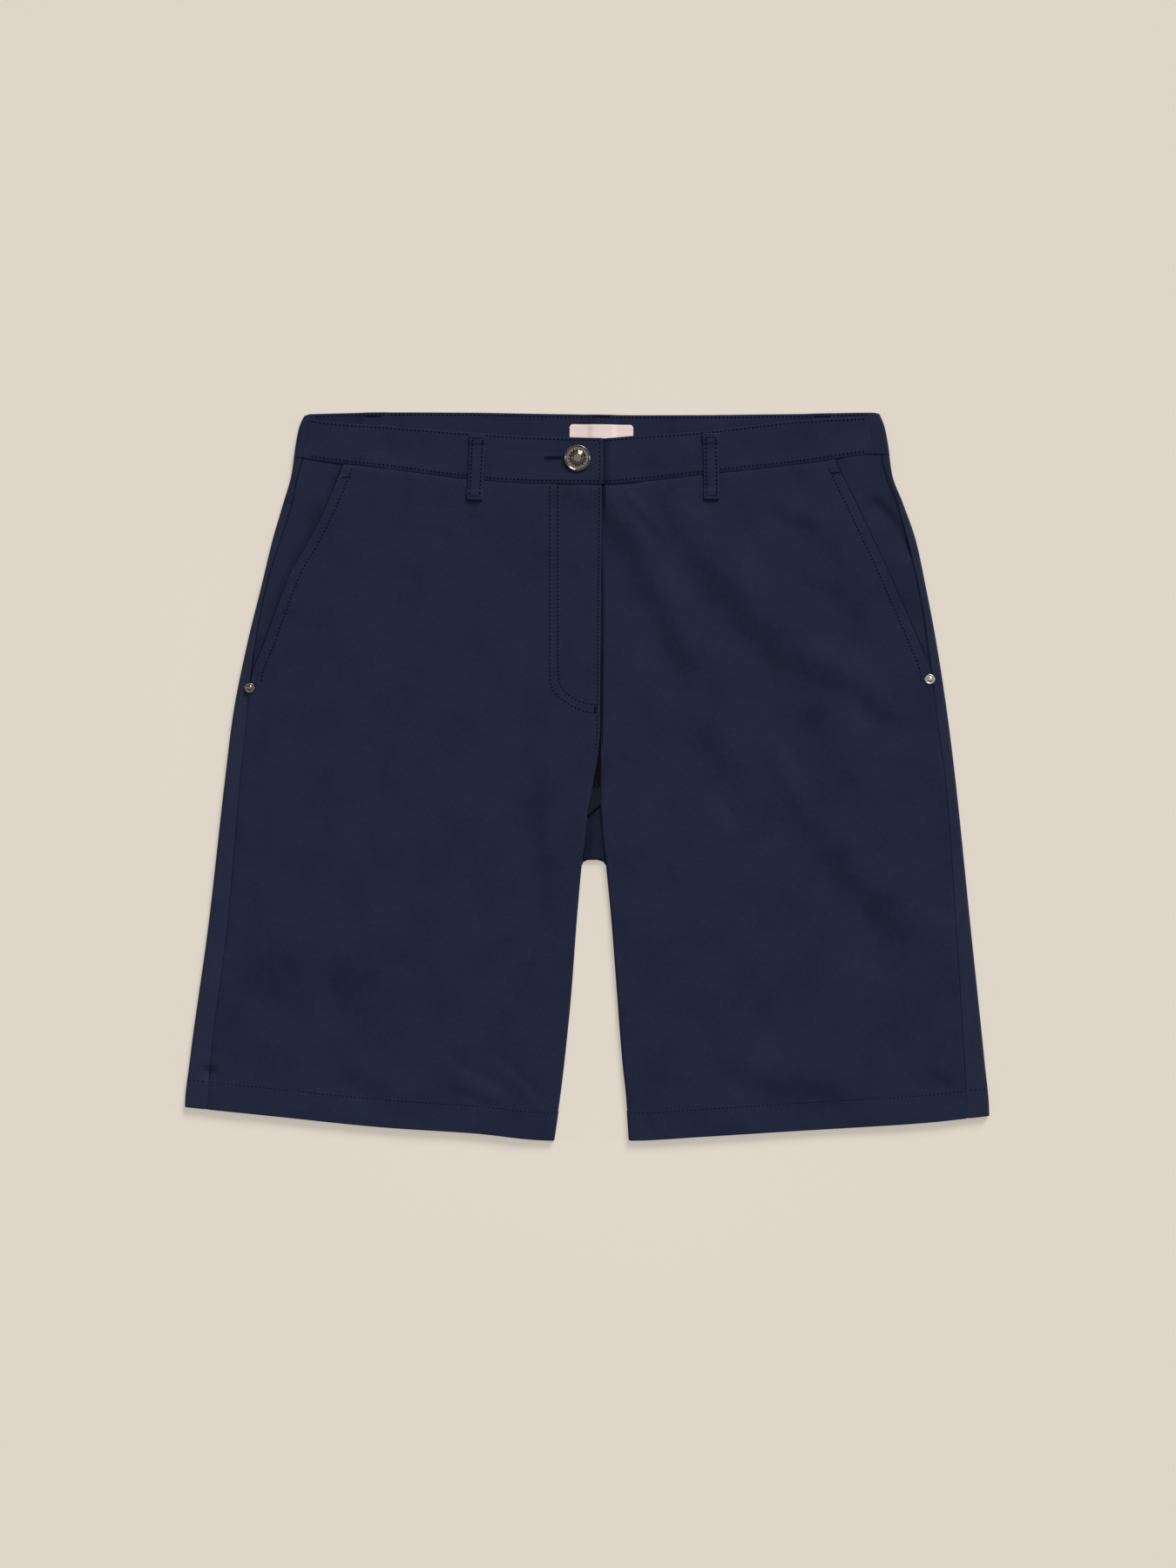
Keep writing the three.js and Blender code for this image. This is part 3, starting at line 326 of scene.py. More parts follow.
def straight(rows, key, value):
    """A function through a table's rows, straight between them."""
    order = np.argsort(rows[key])
    keys, values = rows[key][order], rows[value][order]
    return lambda k: np.interp(k, keys, values)


def curve(rows, key, value):
    """A smooth curve through a table's rows that never overshoots them."""
    order = np.argsort(rows[key])
    keys, values = rows[key][order], rows[value][order]
    slopes = np.diff(values) / np.diff(keys)
    before = np.concatenate([slopes[:1], slopes])
    after = np.concatenate([slopes, slopes[-1:]])
    total = np.where(before * after > 0, before + after, 1)
    tangents = np.where(before * after > 0, 2 * before * after / total, 0)

    def at(k):
        held = np.clip(k, keys[0], keys[-1])
        i = np.clip(np.searchsorted(keys, held, side="right") - 1, 0, len(keys) - 2)
        span = keys[i + 1] - keys[i]
        t = (held - keys[i]) / span
        t2, t3 = t * t, t * t * t
        near = (2 * t3 - 3 * t2 + 1) * values[i] + (t3 - 2 * t2 + t) * span * tangents[i]
        far = (3 * t2 - 2 * t3) * values[i + 1] + (t3 - t2) * span * tangents[i + 1]
        return near + far

    return at


def for_sides(make, rows):
    return {side: make(rows, "y", side) for side in OUT}


side_x = for_sides(curve, SIDES)
table_seam_x = for_sides(curve, SIDE_SEAMS)
table_pocket_x = for_sides(curve, POCKET_MOUTHS)
inner_x = for_sides(curve, INNER_EDGES)
band_seam_x = for_sides(straight, BAND_SEAMS)
tongue_x = for_sides(straight, BACK_TONGUE)
curl_end = {side: straight(CURL_ENDS[side], "y", "z") for side in OUT}
back_top_y = curve(WAIST, "x", "back_top")
front_top_y = curve(WAIST, "x", "front_top")
front_seam_y = curve(WAIST, "x", "front_seam")
hem_y = curve(HEMS, "x", "y")


def seam_x(side, y):
    furthest = np.abs(side_x[side](y)) - SIDE_HEIGHT / 2 - 1
    return OUT[side] * np.minimum(np.abs(table_seam_x[side](y)), furthest)


def pocket_x(side, y):
    return OUT[side] * np.minimum(np.abs(table_pocket_x[side](y)), np.abs(seam_x(side, y)) - SEAM_GAP)


def yoke_seam_y(x):
    return lerp(YOKE_CENTRE_Y, YOKE_SIDE_Y, np.minimum(np.abs(x - CENTRE_X) / HALF_WAIST, 1))


def cross_seam_y(x):
    return CROSS_SEAM["y"] + (x - CROSS_SEAM["x"]) * CROSS_SEAM["slope"]


def fly_edge_x(y):
    return lerp(*FLY_EDGE_X, np.maximum((y - FLY_END_Y) / FLY_LENGTH, 0))


def front_outer_x(side, y):
    below = seam_x(side, y) - OUT[side] * SEAM_GAP / 2
    return np.where(y > POCKET_END_Y, pocket_x(side, y), below)


def front_inner_x(side, y):
    leg = inner_x[side](y)
    if side == "right":
        return np.where(y > FLY_END_Y, fly_edge_x(y), leg)
    end = lerp(leg, UNDERLAP_X, smooth((y - UNDERLAP_START_Y) / (UNDERLAP_END_Y - UNDERLAP_START_Y)))
    return np.where(y > UNDERLAP_START_Y, end, leg)


def pinch(x, y):
    """The small dent where the side seam of the right leg is caught, above the hem."""
    reach = np.where(y > PINCH["y"], PINCH["above"], PINCH["below"])
    return PINCH["depth"] * bell((x - PINCH["x"]) / PINCH["width"]) * bell((y - PINCH["y"]) / reach)


def loop_lift(x, y):
    """Rise of the back cloth over the belt loops that lie under it."""
    across = 0
    for centre in BACK_LOOPS.values():
        across = np.maximum(across, smooth((LIFT_REACH + LIFT_RAMP - np.abs(x - centre)) / LIFT_RAMP))
    return LOOP_LIFT * across * smooth((y - LIFT_END_Y + LIFT_RAMP) / LIFT_RAMP)


# Seam lines, stitch lines and the small waves that sewing leaves beside them


def polyline(points):
    return np.array(points, float)


def line_along_y(x_of_y, start, stop, steps=80):
    y = np.linspace(start, stop, steps + 1)
    return np.stack([x_of_y(y), y], 1)


def line_along_x(y_of_x, start, stop, steps=80):
    x = np.linspace(start, stop, steps + 1)
    return np.stack([x, y_of_x(x)], 1)


def rounded(points, steps=10):
    """A curve through a few points, as a Catmull-Rom spline."""
    p = polyline(points)
    p = np.concatenate([[2 * p[0] - p[1]], p, [2 * p[-1] - p[-2]]])
    t = np.linspace(0, 1, steps, endpoint=False)[:, None]
    spans = []
    for a, b, c, d in zip(p, p[1:], p[2:], p[3:]):
        spans.append(0.5 * (2 * b + (c - a) * t + (2 * a - 5 * b + 4 * c - d) * t**2
                            + (3 * b - a - 3 * c + d) * t**3))
    return np.concatenate([*spans, p[-2:-1]])


def pocket_stitch_x(side, inset):
    return lambda y: pocket_x(side, y) - OUT[side] * inset


FLY_OUTER = rounded([
    (-27.6, 213), (-27.5, 120), (-27.5, 76), (-24.6, 62.4), (-18.1, 55.9), (-5.1, 48.6), (6.9, 46.1),
])
FLY_INNER = rounded([
    (-21.6, 213), (-21.5, 120), (-21.3, 80), (-19.6, 66.8), (-14.2, 60.3), (-5.1, 54.6), (7.3, 52.1),
])
FRONT_HEMS = {"right": (-279, -24), "left": (31, 279)}

# Lines along which the cloth is drawn up, each with its waves' period, height, reach to both sides and seed
WAVES = [(FLY_OUTER, 9.0, 0.12, 6, 14)]
for side, out in OUT.items():
    seam = line_along_y(lambda y: seam_x(side, y) - out * 3, 60, -240)
    top = line_along_x(lambda x: front_seam_y(x) - 5, *sorted([out * 205, 12]))
    hem = line_along_x(lambda x: hem_y(x) + 14, *FRONT_HEMS[side])
    WAVES += [
        (line_along_y(pocket_stitch_x(side, 4), 226, 70), 8.0, 0.20, 4.5, 1 + out),
        (seam, 15.0, 0.14, 7, 4 + out),
        (top, 12.5, 0.13, 10, 7 + out),
        (hem, 13.0, 0.13, 9, 10 + out),
    ]


def beside(line, x, y):
    """Distance of each point to the left of a line, and how far along the line its nearest place is."""
    starts, steps = line[:-1], np.diff(line, axis=0)
    lengths = np.hypot(steps[:, 0], steps[:, 1])
    run = np.concatenate([[0], np.cumsum(lengths)[:-1]])
    across = np.full(np.shape(x), 1e9)
    place = np.zeros(np.shape(x))
    for start, step, length, before in zip(starts, steps, lengths, run):
        from_x, from_y = x - start[0], y - start[1]
        t = np.clip((from_x * step[0] + from_y * step[1]) / length**2, 0, 1)
        distance = np.hypot(from_x - t * step[0], from_y - t * step[1])
        closer = distance < np.abs(across)
        distance = np.where(from_y * step[0] < from_x * step[1], -distance, distance)
        across = np.where(closer, distance, across)
        place = np.where(closer, before + t * length, place)
    return across, place


def sewing_waves(x, y):
    """Small waves across the seams and stitch rows, which die away beside them."""
    total = np.zeros(x.shape)
    for line, period, height, reach, seed in WAVES:
        low, high = line.min(0) - 2.5 * reach, line.max(0) + 2.5 * reach
        near = (x > low[0]) & (x < high[0]) & (y > low[1]) & (y < high[1])
        if not near.any():
            continue
        across, place = beside(line, x[near], y[near])
        drift = 0.9 * np.sin(place / (period * 3.1) + seed) + 0.6 * np.sin(place / (period * 1.7) + 2 * seed)
        swell = 0.65 + 0.35 * np.sin(place / (period * 2.3) + 3 * seed)
        wave = np.sin(2 * math.pi * place / period + drift)
        total[near] += height * swell * wave * bell(across / reach)
    return total


def fold_rise(folds, x, y):
    """Height of the folds at each point, where each fold fades towards both of its ends."""
    total = np.zeros(np.shape(x))
    for x1, y1, x2, y2, x3, y3, width, rise in zip(*folds.values()):
        line = rounded([(x1, y1), (x2, y2), (x3, y3)], 5)
        length = np.hypot(*np.diff(line, axis=0).T).sum()
        across, place = beside(line, x, y)
        a = across / width
        fade = smooth(place / (0.3 * length)) * smooth((length - place) / (0.3 * length))
        total += rise * fade * FOLD_PEAK * a * bell(a)
    return total


def slow_swell(x, y):
    """Faint unevenness of cloth that lies loose, from a few crossed waves."""
    total = np.zeros(np.shape(x))
    for k in range(9):
        angle = 2.4 * k + 0.4
        length = 26 + 9 * k
        total += 0.035 * np.sin(2 * math.pi * (x * math.cos(angle) + y * math.sin(angle)) / length + 1.7 * k)
    return total


def fly_strength(y):
    """How far the fly shapes the left front beside it, from 0 on the leg to 1."""
    return smooth((y - 14) / 16)


def centre_rise(x):
    """How far the cloth has risen onto the waistband's underlap, from 0 to 1."""
    return smooth((x - BAND_UNDERLAP_X) / BAND_RAMP)


def front_height(side, x, y, fine=True):
    """Height of a front's outer side, with the creases and sewing waves if it is to be fine."""
    from_side = np.abs(side_x[side](y)) - np.abs(x)
    from_inner = OUT[side] * (x - inner_x[side](y))
    from_pocket = np.abs(pocket_x(side, y)) - np.abs(x)
    seam_row = smooth((SEAM_ROW[0] - y) / SEAM_ROW[1])
    leg_row = smooth((LEG_ROW[0] - y) / LEG_ROW[1])
    open_cloth = smooth(from_side / 40) * smooth((front_seam_y(x) - y) / 12)
    open_cloth = open_cloth * lerp(1, smooth(from_inner / 25), leg_row)
    z = LOFT + fold_rise(FOLDS, x, y) * open_cloth
    if fine:
        inside_edges = smooth(from_side / 12) * smooth((front_seam_y(x) - y) / 8)
        z = z + (slow_swell(x, y) + fold_rise(CREASES, x, y)) * inside_edges
    z = z - (LOFT - SIDE_HEIGHT) * seam_row * (1 - smooth(from_side / 35))
    z = z - (LOFT - INSEAM_HEIGHT) * leg_row * (1 - smooth(from_inner / 30))
    mouth = (1 - smooth((from_pocket - 24) / 20)) * (1 - seam_row)
    z = lerp(z, POCKET_HEIGHT, mouth)
    if fine:
        z = z + 0.9 * gape(side, y) * bell(from_pocket / 5)
    if side == "right":
        raised = smooth((x - FLY_RAMP[0]) / FLY_RAMP[1])
        z = lerp(z, FLY_HEIGHT, raised * smooth((y - 4) / 56))
        z = lerp(z, FLY_TOP_HEIGHT, centre_rise(x) * smooth((y - 195) / 18))
    else:
        under_fly = 1 - smooth((x - fly_edge_x(y) - FLY_GROOVE[0]) / FLY_GROOVE[1])
        z = lerp(z, UNDERLAP_HEIGHT, under_fly * fly_strength(y))
    if fine:
        z = z + sewing_waves(x, y) - pinch(x, y)
        from_seam = np.abs(x) - np.abs(seam_x(side, y))
        z = z - 0.45 * bell((y - front_seam_y(x)) / 0.9)
        z = z - 0.35 * bell(from_seam / 1.5) * (y < POCKET_END_Y - 6)
    return z


def band_height(side, x):
    """Height of a front waistband: the right one laps over the left one at the tab."""
    tab = lerp(BAND_HEIGHT, TAB_HEIGHT, centre_rise(x))
    if side == "right":
        return tab
    under_tab = tab - UNDER_TAB
    return np.where(x < TAB_END_X, under_tab, lerp(under_tab, BAND_HEIGHT, smooth((x - 30) / 40)))


def gape(side, y):
    """How far the pocket on the right side stands open, from 0 to 1."""
    return smooth((y - 80) / 50) * smooth((228 - y) / 14) * (side == "right")


FACING_VALLEY = rounded([(205, 207), (215, 197), (226, 184), (234, 168), (239, 153)])


def facing_height(side, x, y):
    """Height of a pocket's facing, which dips beside the open mouth or in the valley that crosses it."""
    from_seam = np.abs(seam_x(side, y)) - np.abs(x)
    width = np.maximum(np.abs(seam_x(side, y)) - np.abs(pocket_x(side, y)), 4)
    at_seam = lerp(FACING_HEIGHT[side], SIDE_HEIGHT, smooth((width - 4) / 4))
    z = lerp(at_seam, FACING_HEIGHT[side], smooth(from_seam / width))
    from_mouth = np.abs(x) - np.abs(pocket_x(side, y))
    z = z - 1.1 * gape(side, y) * bell(np.maximum(from_mouth, 0) / 3.5)
    if side == "left":
        across, place = beside(FACING_VALLEY, x, y)
        reach = np.where(across > 0, 3.4, 9)
        z = z - 1.8 * bell(across / reach) * smooth(place / 12) * smooth((62 - place) / 12)
    return z


def solve_rows(place_x, row_y):
    """Points where rows cross columns, when each column's place depends on the height."""
    y = np.zeros(np.broadcast(row_y(place_x(0.0)), 0).shape)
    for _ in range(7):
        y = row_y(place_x(y))
    return place_x(y), y


# Meshes


def normalised(v):
    return v / np.maximum(np.linalg.norm(v, axis=-1, keepdims=True), 1e-9)


def grid_normals(p):
    along_row = np.gradient(p, axis=1)
    along_column = np.gradient(p, axis=0)
    return normalised(np.cross(along_row, along_column))


def boundary(rows, columns):
    """The grid's edge as one loop of (row, column)."""
    top = [(0, j) for j in range(columns)]
    right = [(i, columns - 1) for i in range(1, rows)]
    bottom = [(rows - 1, j) for j in range(columns - 2, -1, -1)]
    left = [(i, 0) for i in range(rows - 2, 0, -1)]
    return top + right + bottom + left


def shell(outer, thickness, inward, rim_steps=6):
    """A closed thin shell behind a grid of outer points, with round edges."""
    rows, columns, _ = outer.shape
    normals = grid_normals(outer) * -inward
    depth = np.broadcast_to(thickness, (rows, columns))[..., None]
    inner = outer - normals * depth
    verts = [outer.reshape(-1, 3), inner.reshape(-1, 3)]
    half = rows * columns
    number = np.arange(half).reshape(rows, columns)
    quads = np.stack([number[:-1, :-1], number[:-1, 1:], number[1:, 1:], number[1:, :-1]], -1)
    quads = quads.reshape(-1, 4)
    faces = [quads, quads[:, ::-1] + half]
    loop = boundary(rows, columns)
    i, j = np.array(loop).T
    in_i = np.where(i == 0, 1, np.where(i == rows - 1, rows - 2, i))
    in_j = np.where(j == 0, 1, np.where(j == columns - 1, columns - 2, j))
    edge, n, d = outer[i, j], normals[i, j], depth[i, j]
    away = edge - outer[in_i, in_j]
    away = normalised(away - n * np.sum(away * n, -1, keepdims=True))
    rings = [number[i, j]]
    base = 2 * half
    for k in range(1, rim_steps):
        a = math.pi * k / rim_steps
        up, out = math.copysign(abs(math.cos(a)) ** RIM_POWER, math.cos(a)), math.sin(a) ** RIM_POWER
        verts.append(edge - n * d / 2 + d / 2 * (n * up + away * out))
        rings.append(base + np.arange(len(loop)))
        base += len(loop)
    rings.append(number[i, j] + half)
    for a, b in zip(rings, rings[1:]):
        faces.append(np.stack([a, b, np.roll(b, -1), np.roll(a, -1)], -1))
    return np.concatenate(verts), np.concatenate(faces)


def solid_piece(name, parts, material, node=None, smooth_shade=True, last=None):
    """One object from (points, faces) pairs in millimetres; the last part may have its own material."""
    verts, faces, count = [], [], 0
    for points, polygons in parts:
        first_of_last = len(faces)
        verts.append(np.asarray(points, float))
        if isinstance(polygons, np.ndarray):
            faces.extend((polygons + count).tolist())
        else:
            faces.extend([[v + count for v in f] for f in polygons])
        count += len(points)
    mesh = bpy.data.meshes.new(name)
    mesh.from_pydata((np.concatenate(verts) * MM).tolist(), [], faces)
    mesh.materials.append(material)
    if last:
        mesh.materials.append(last)
        mesh.polygons.foreach_set("material_index", [int(k >= first_of_last) for k in range(len(faces))])
    mesh.validate()
    work = bmesh.new()
    work.from_mesh(mesh)
    bmesh.ops.recalc_face_normals(work, faces=work.faces)
    work.to_mesh(mesh)
    work.free()
    mesh.polygons.foreach_set("use_smooth", [smooth_shade] * len(mesh.polygons))
    piece = bpy.data.objects.new(name, mesh)
    bpy.context.collection.objects.link(piece)
    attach(piece, "root")
    if node:
        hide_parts(*([node] if isinstance(node, str) else node))
    return piece


def tube_faces(rings, sides, first=0):
    """Quads between rings that follow each other, each with the same number of points."""
    faces = []
    for k in range(rings - 1):
        here, ahead = first + k * sides, first + (k + 1) * sides
        for n in range(sides):
            m = (n + 1) % sides
            faces.append([here + n, here + m, ahead + m, ahead + n])
    return faces


def lathe(profile, x, y, steps):
    """A closed turned piece from (radius, height) points that start and end on the axis."""
    verts = [[x, y, profile[0][1]], [x, y, profile[-1][1]]]
    for r, z in profile[1:-1]:
        for a in np.linspace(0, 2 * math.pi, steps, endpoint=False):
            verts.append([x + r * math.cos(a), y + r * math.sin(a), z])
    rings = len(profile) - 2
    faces = tube_faces(rings, steps, 2)
    last = 2 + (rings - 1) * steps
    for n in range(steps):
        m = (n + 1) % steps
        faces += [[0, 2 + m, 2 + n], [1, last + n, last + m]]
    return np.array(verts), faces


# Stitches

STITCH_RINGS = [(-1.0, 0.35), (-0.72, 1.0), (0.72, 1.0), (1.0, 0.35)]
STITCH_SIDES = 6


def thread(centres, along, facing, length, width, height):
    """Short rounded lengths of thread, on a surface that faces up (1) or down (-1)."""
    along = normalised(np.asarray(along, float))
    across = normalised(np.cross((0.0, 0.0, facing), along))
    up = np.cross(along, across)
    verts = []
    for offset, size in STITCH_RINGS:
        for a in np.linspace(0, 2 * math.pi, STITCH_SIDES, endpoint=False):
            aside, above = math.cos(a) * size * width / 2, math.sin(a) * size * height / 2
            verts.append(centres + along * (offset * length / 2) + across * aside + up * above)
    count = len(verts)
    caps = [list(range(STITCH_SIDES))[::-1], list(range(count - STITCH_SIDES, count))]
    faces = tube_faces(len(STITCH_RINGS), STITCH_SIDES) + caps
    all_faces = [[v + s * count for v in f] for s in range(len(centres)) for f in faces]
    return np.stack(verts, 1).reshape(-1, 3), all_faces


def resample(line, pitch):
    """Evenly spaced places along a line, about one pitch apart."""
    steps = np.hypot(*np.diff(line, axis=0).T)
    run = np.concatenate([[0], np.cumsum(steps)])
    count = max(int(run[-1] / pitch), 1)
    at = (np.arange(count) + 0.5) * run[-1] / count
    return np.stack([np.interp(at, run, line[:, 0]), np.interp(at, run, line[:, 1])], 1)


def stitch_row(line, height, facing=1, pitch=STITCH_PITCH, sink=STITCH_SINK, **size):
    """Stitches along a line of (x, y), on a surface given by its height."""
    spec = {**STITCH, **size}
    centres = resample(line, pitch)
    ahead = np.gradient(centres, axis=0) if len(centres) > 1 else line[-1:] - line[:1]
    x, y = centres.T
    dx, dy = normalised(ahead).T * 0.8
    rise = height(x + dx, y + dy) - height(x - dx, y - dy)
    z = height(x, y) + facing * (spec["height"] / 2 - sink)
    return thread(xyz(x, y, z), xyz(2 * dx, 2 * dy, rise), facing, **spec)


def bartack(x, y, angle, length, width, height, facing=1):
    """A short dense bar of thread: narrow stitches side by side along its length."""
    dx, dy = math.cos(angle), math.sin(angle)
    at = np.arange(-length / 2, length / 2 + 0.01, THREAD_WIDTH)
    cx, cy = x + at * dx, y + at * dy
    slant = np.where(np.arange(len(at)) % 2, 0.25, -0.25)
    along = xyz(-dy + slant * dx, dx + slant * dy, 0)
    centres = xyz(cx, cy, height(cx, cy) + facing * THREAD_LIFT)
    return thread(centres, along, facing, width, THREAD_WIDTH, THREAD_WIDTH)


# Materials


class Surface:
    """A material in the making. Its textures lie on the object by the object's own coordinates."""

    def __init__(self, name):
        self.material = bpy.data.materials.new(name)
        self.material.use_nodes = True
        self.nodes = self.material.node_tree.nodes
        self.shader = self.nodes["Principled BSDF"]
        self.place = self.add("ShaderNodeTexCoord").outputs["Object"]

    def add(self, kind, inputs=None, **settings):
        node = self.nodes.new(kind)
        for key, value in settings.items():
            setattr(node, key, value)
        for key, value in (inputs or {}).items():
            node.inputs[key].default_value = value
        return node

    def link(self, output, node, socket):
        self.material.node_tree.links.new(output, node.inputs[socket])

    def noise(self, scale, detail, roughness=0.5):
        node = self.add("ShaderNodeTexNoise", {"Scale": scale, "Detail": detail, "Roughness": roughness})
        self.link(self.place, node, "Vector")
        return node.outputs["Fac"]

    def mix(self, first, second, share):
        node = self.add("ShaderNodeMix", {"Factor": share}, data_type="FLOAT")
        self.link(first, node, "A")
        self.link(second, node, "B")
        return node.outputs["Result"]

    def colour(self, value, dark, light, low=0, high=1):
        """Base colour from dark to light, as a texture's value goes from low to high."""
        node = self.add("ShaderNodeValToRGB")
        for end, place, shade in zip(node.color_ramp.elements, (low, high), (dark, light)):
            end.position = place
            end.color = shade
        self.link(value, node, "Fac")
        self.link(node.outputs["Color"], self.shader, "Base Color")

    def vary(self, value, socket, ends):
        """Lets a texture's value move one of the shader's inputs between two ends."""
        node = self.add("ShaderNodeMapRange", ends)
        self.link(value, node, "Value")
        self.link(node.outputs["Result"], self.shader, socket)

    def relief(self, value, strength, distance):
        node = self.add("ShaderNodeBump", {"Strength": strength, "Distance": distance})
        self.link(value, node, "Height")
        self.link(node.outputs["Normal"], self.shader, "Normal")

    def finish(self, values):
        for key, value in values.items():
            self.shader.inputs[key].default_value = value
        return self.material


def linear(r, g, b):
    """An sRGB colour of 0 to 255, as the linear colour that a shader takes."""
    out = []
    for c in (r, g, b):
        c /= 255
        out.append(c / 12.92 if c <= 0.04045 else ((c + 0.055) / 1.055) ** 2.4)
    return (*out, 1)


def cotton(name, dark, light, twill_pitch=0.45, roughness=0.75, sheen=0.08, angle=63):
    """Woven cloth: a fine slanted twill over uneven threads, with slow changes of tone."""
    surface = Surface(name)
    turned = surface.add("ShaderNodeMapping", {"Rotation": (0, 0, math.radians(angle))})
    surface.link(surface.place, turned, "Vector")
    scale = math.pi / 10 / (twill_pitch * MM)
    twill = surface.add("ShaderNodeTexWave",
                        {"Scale": scale, "Distortion": 1.2, "Detail": 1.0, "Detail Scale": 2.0},
                        wave_type="BANDS", bands_direction="X", wave_profile="SIN")
    surface.link(turned.outputs["Vector"], twill, "Vector")
    slub = surface.noise(360.0, 3.0, 0.75)
    tone = surface.noise(28.0, 5.0, 0.62)
    grain = surface.mix(twill.outputs["Fac"], slub, 0.6)
    surface.colour(surface.mix(grain, tone, 0.45), dark, light, 0.33, 0.7)
    surface.relief(grain, 0.15, 0.0002)
    return surface.finish({"Roughness": roughness, "Specular IOR Level": 0.08, "Sheen Weight": sheen,
                           "Sheen Roughness": 0.3})


def thread_material(name, colour):
    """Spun thread, uneven in tone and relief."""
    surface = Surface(name)
    fuzz = surface.noise(3500.0, 2.0)
    surface.colour(fuzz, tuple(c * 0.7 for c in colour[:3]) + (1,), colour)
    surface.relief(fuzz, 0.4, 0.0001)
    return surface.finish({"Roughness": 0.75, "Specular IOR Level": 0.04})


def metal_material(name, colour, roughness):
    """Polished metal, with faint scuffs."""
    surface = Surface(name)
    scuff = surface.noise(600.0, 4.0, 0.65)
    surface.vary(scuff, "Roughness", {"To Min": roughness * 0.7, "To Max": roughness * 1.4})
    surface.relief(scuff, 0.03, 0.0001)
    return surface.finish({"Base Color": colour, "Metallic": 1.0})


def floor_material():
    """A pale table that is lit from inside as well as from above, so that shadows on it stay faint."""
    surface = Surface("Floor")
    surface.colour(surface.noise(1.2, 2.0), (0.380, 0.354, 0.314, 1), (0.394, 0.368, 0.328, 1))
    # The glow is stronger in the middle than further out: a painted pool of light.
    spot = surface.add("ShaderNodeVectorMath", operation="LENGTH")
    surface.link(surface.place, spot, 0)
    glow = {"From Min": 0.2, "From Max": 0.72, "To Min": 1.03, "To Max": 0.965}
    surface.vary(spot.outputs["Value"], "Emission Strength", glow)
    return surface.finish({"Roughness": 0.95, "Specular IOR Level": 0.05,
                           "Emission Color": (0.381, 0.343, 0.299, 1)})


NAVY = cotton("Navy_cotton", linear(22.5, 29.5, 50.5), linear(35.5, 42.5, 65))
# The backs' cloth is painted lighter than the fronts': painted light, so the side strips look brighter where
# the cloth turns down at the sides.
NAVY_PAINTED_LIGHTER = cotton("Navy_cotton_back_painted_lighter", linear(29.5, 35.5, 56), linear(38.5, 44, 66))
# Darker cloth for the left back's tongue in the opening under the crotch: painted shade.
NAVY_PAINTED_SHADE = cotton("Navy_cotton_painted_shade", linear(21, 26, 42), linear(27, 33, 50))
# Much darker cloth for the front tongues, the right back's tongue, the left front beside the fly's edge, the
# strips of the pocket facings and the left band beyond the tab: painted deep shade.
NAVY_PAINTED_DEEP_SHADE = cotton("Navy_cotton_painted_deep_shade", linear(14, 18, 33), linear(20, 25, 43))
# Near-black cloth at the top of the opening under the fly and along the seam across it: painted deep shade.
NAVY_PAINTED_BLACK_SHADE = cotton("Navy_cotton_painted_black_shade", linear(3, 4, 7), linear(6, 8, 12))
NAVY_TAPE = cotton("Navy_zip_tape", linear(20, 25, 40), linear(28, 33, 50), twill_pitch=0.9, angle=20)
PINK = cotton("Pink_ribbon", linear(234, 211, 209), linear(242, 222, 220), twill_pitch=0.5,
              roughness=0.5, sheen=0.05, angle=0)
# The stitch threads are made darker than the cloth: painted shade of the needle holes and dents along the
# stitch rows.
THREAD = thread_material("Navy_thread", linear(7, 12, 36))
PALE_THREAD = thread_material("Navy_thread_pale", linear(13, 19, 42))
PURL_THREAD = thread_material("Navy_thread_purl", linear(24, 30, 51))
GUNMETAL = metal_material("Gunmetal", linear(122, 115, 107), 0.15)
# Steel for the zip's chain; on the left rivet this paler metal is a painted glint.
STEEL_AND_PAINTED_GLINT = metal_material("Steel_and_painted_glint", linear(196, 194, 188), 0.22)


# Cloth pieces and their stitches


def cloth_piece(name, parts, node, material=NAVY, last=None):
    """A piece of the garment's cloth, which stands for one node of the frame."""
    return solid_piece(f"{name}_cloth", parts, material, node, last=last)


def sewn_piece(name, rows, material=THREAD):
    """The stitches of one piece."""
    return solid_piece(f"{name}_stitches", rows, material)


def seam_inset(side):
    """From a seam along Y to the middle of the sheet's rounded edge beside it."""
    return OUT[side] * SHEET * SEAM_MEET


def rows_with_hem(side, top, count, *more):
    """Fractions down a leg panel, and which of them lie in the hem, where the cloth is doubled."""
    bottom = float(hem_y(inner_x[side](LOWEST_Y)))
    hem_v = (top - bottom - HEM_DEPTH) / (top - bottom)
    v = [*np.linspace(0, 1, count), hem_v - 0.001, hem_v + 0.001, *more]
    v = np.unique(v)[:, None]
    return v, v > hem_v


# Fronts

FLY_SHOULDER = 4  # the left front is as high as the rest of it this far beside the fly
LEG_SHOULDER = 12  # where its columns start to bunch along the leg
FLY_SHARE = 0.8  # of the left front's columns, up to that place


def steps_with_ends(count):
    """Even fractions from 0 to 1, with more of them close to both ends."""
    even = np.linspace(0, 1, count + 1)
    return np.unique(np.concatenate([even, [0.003, 0.997]]))


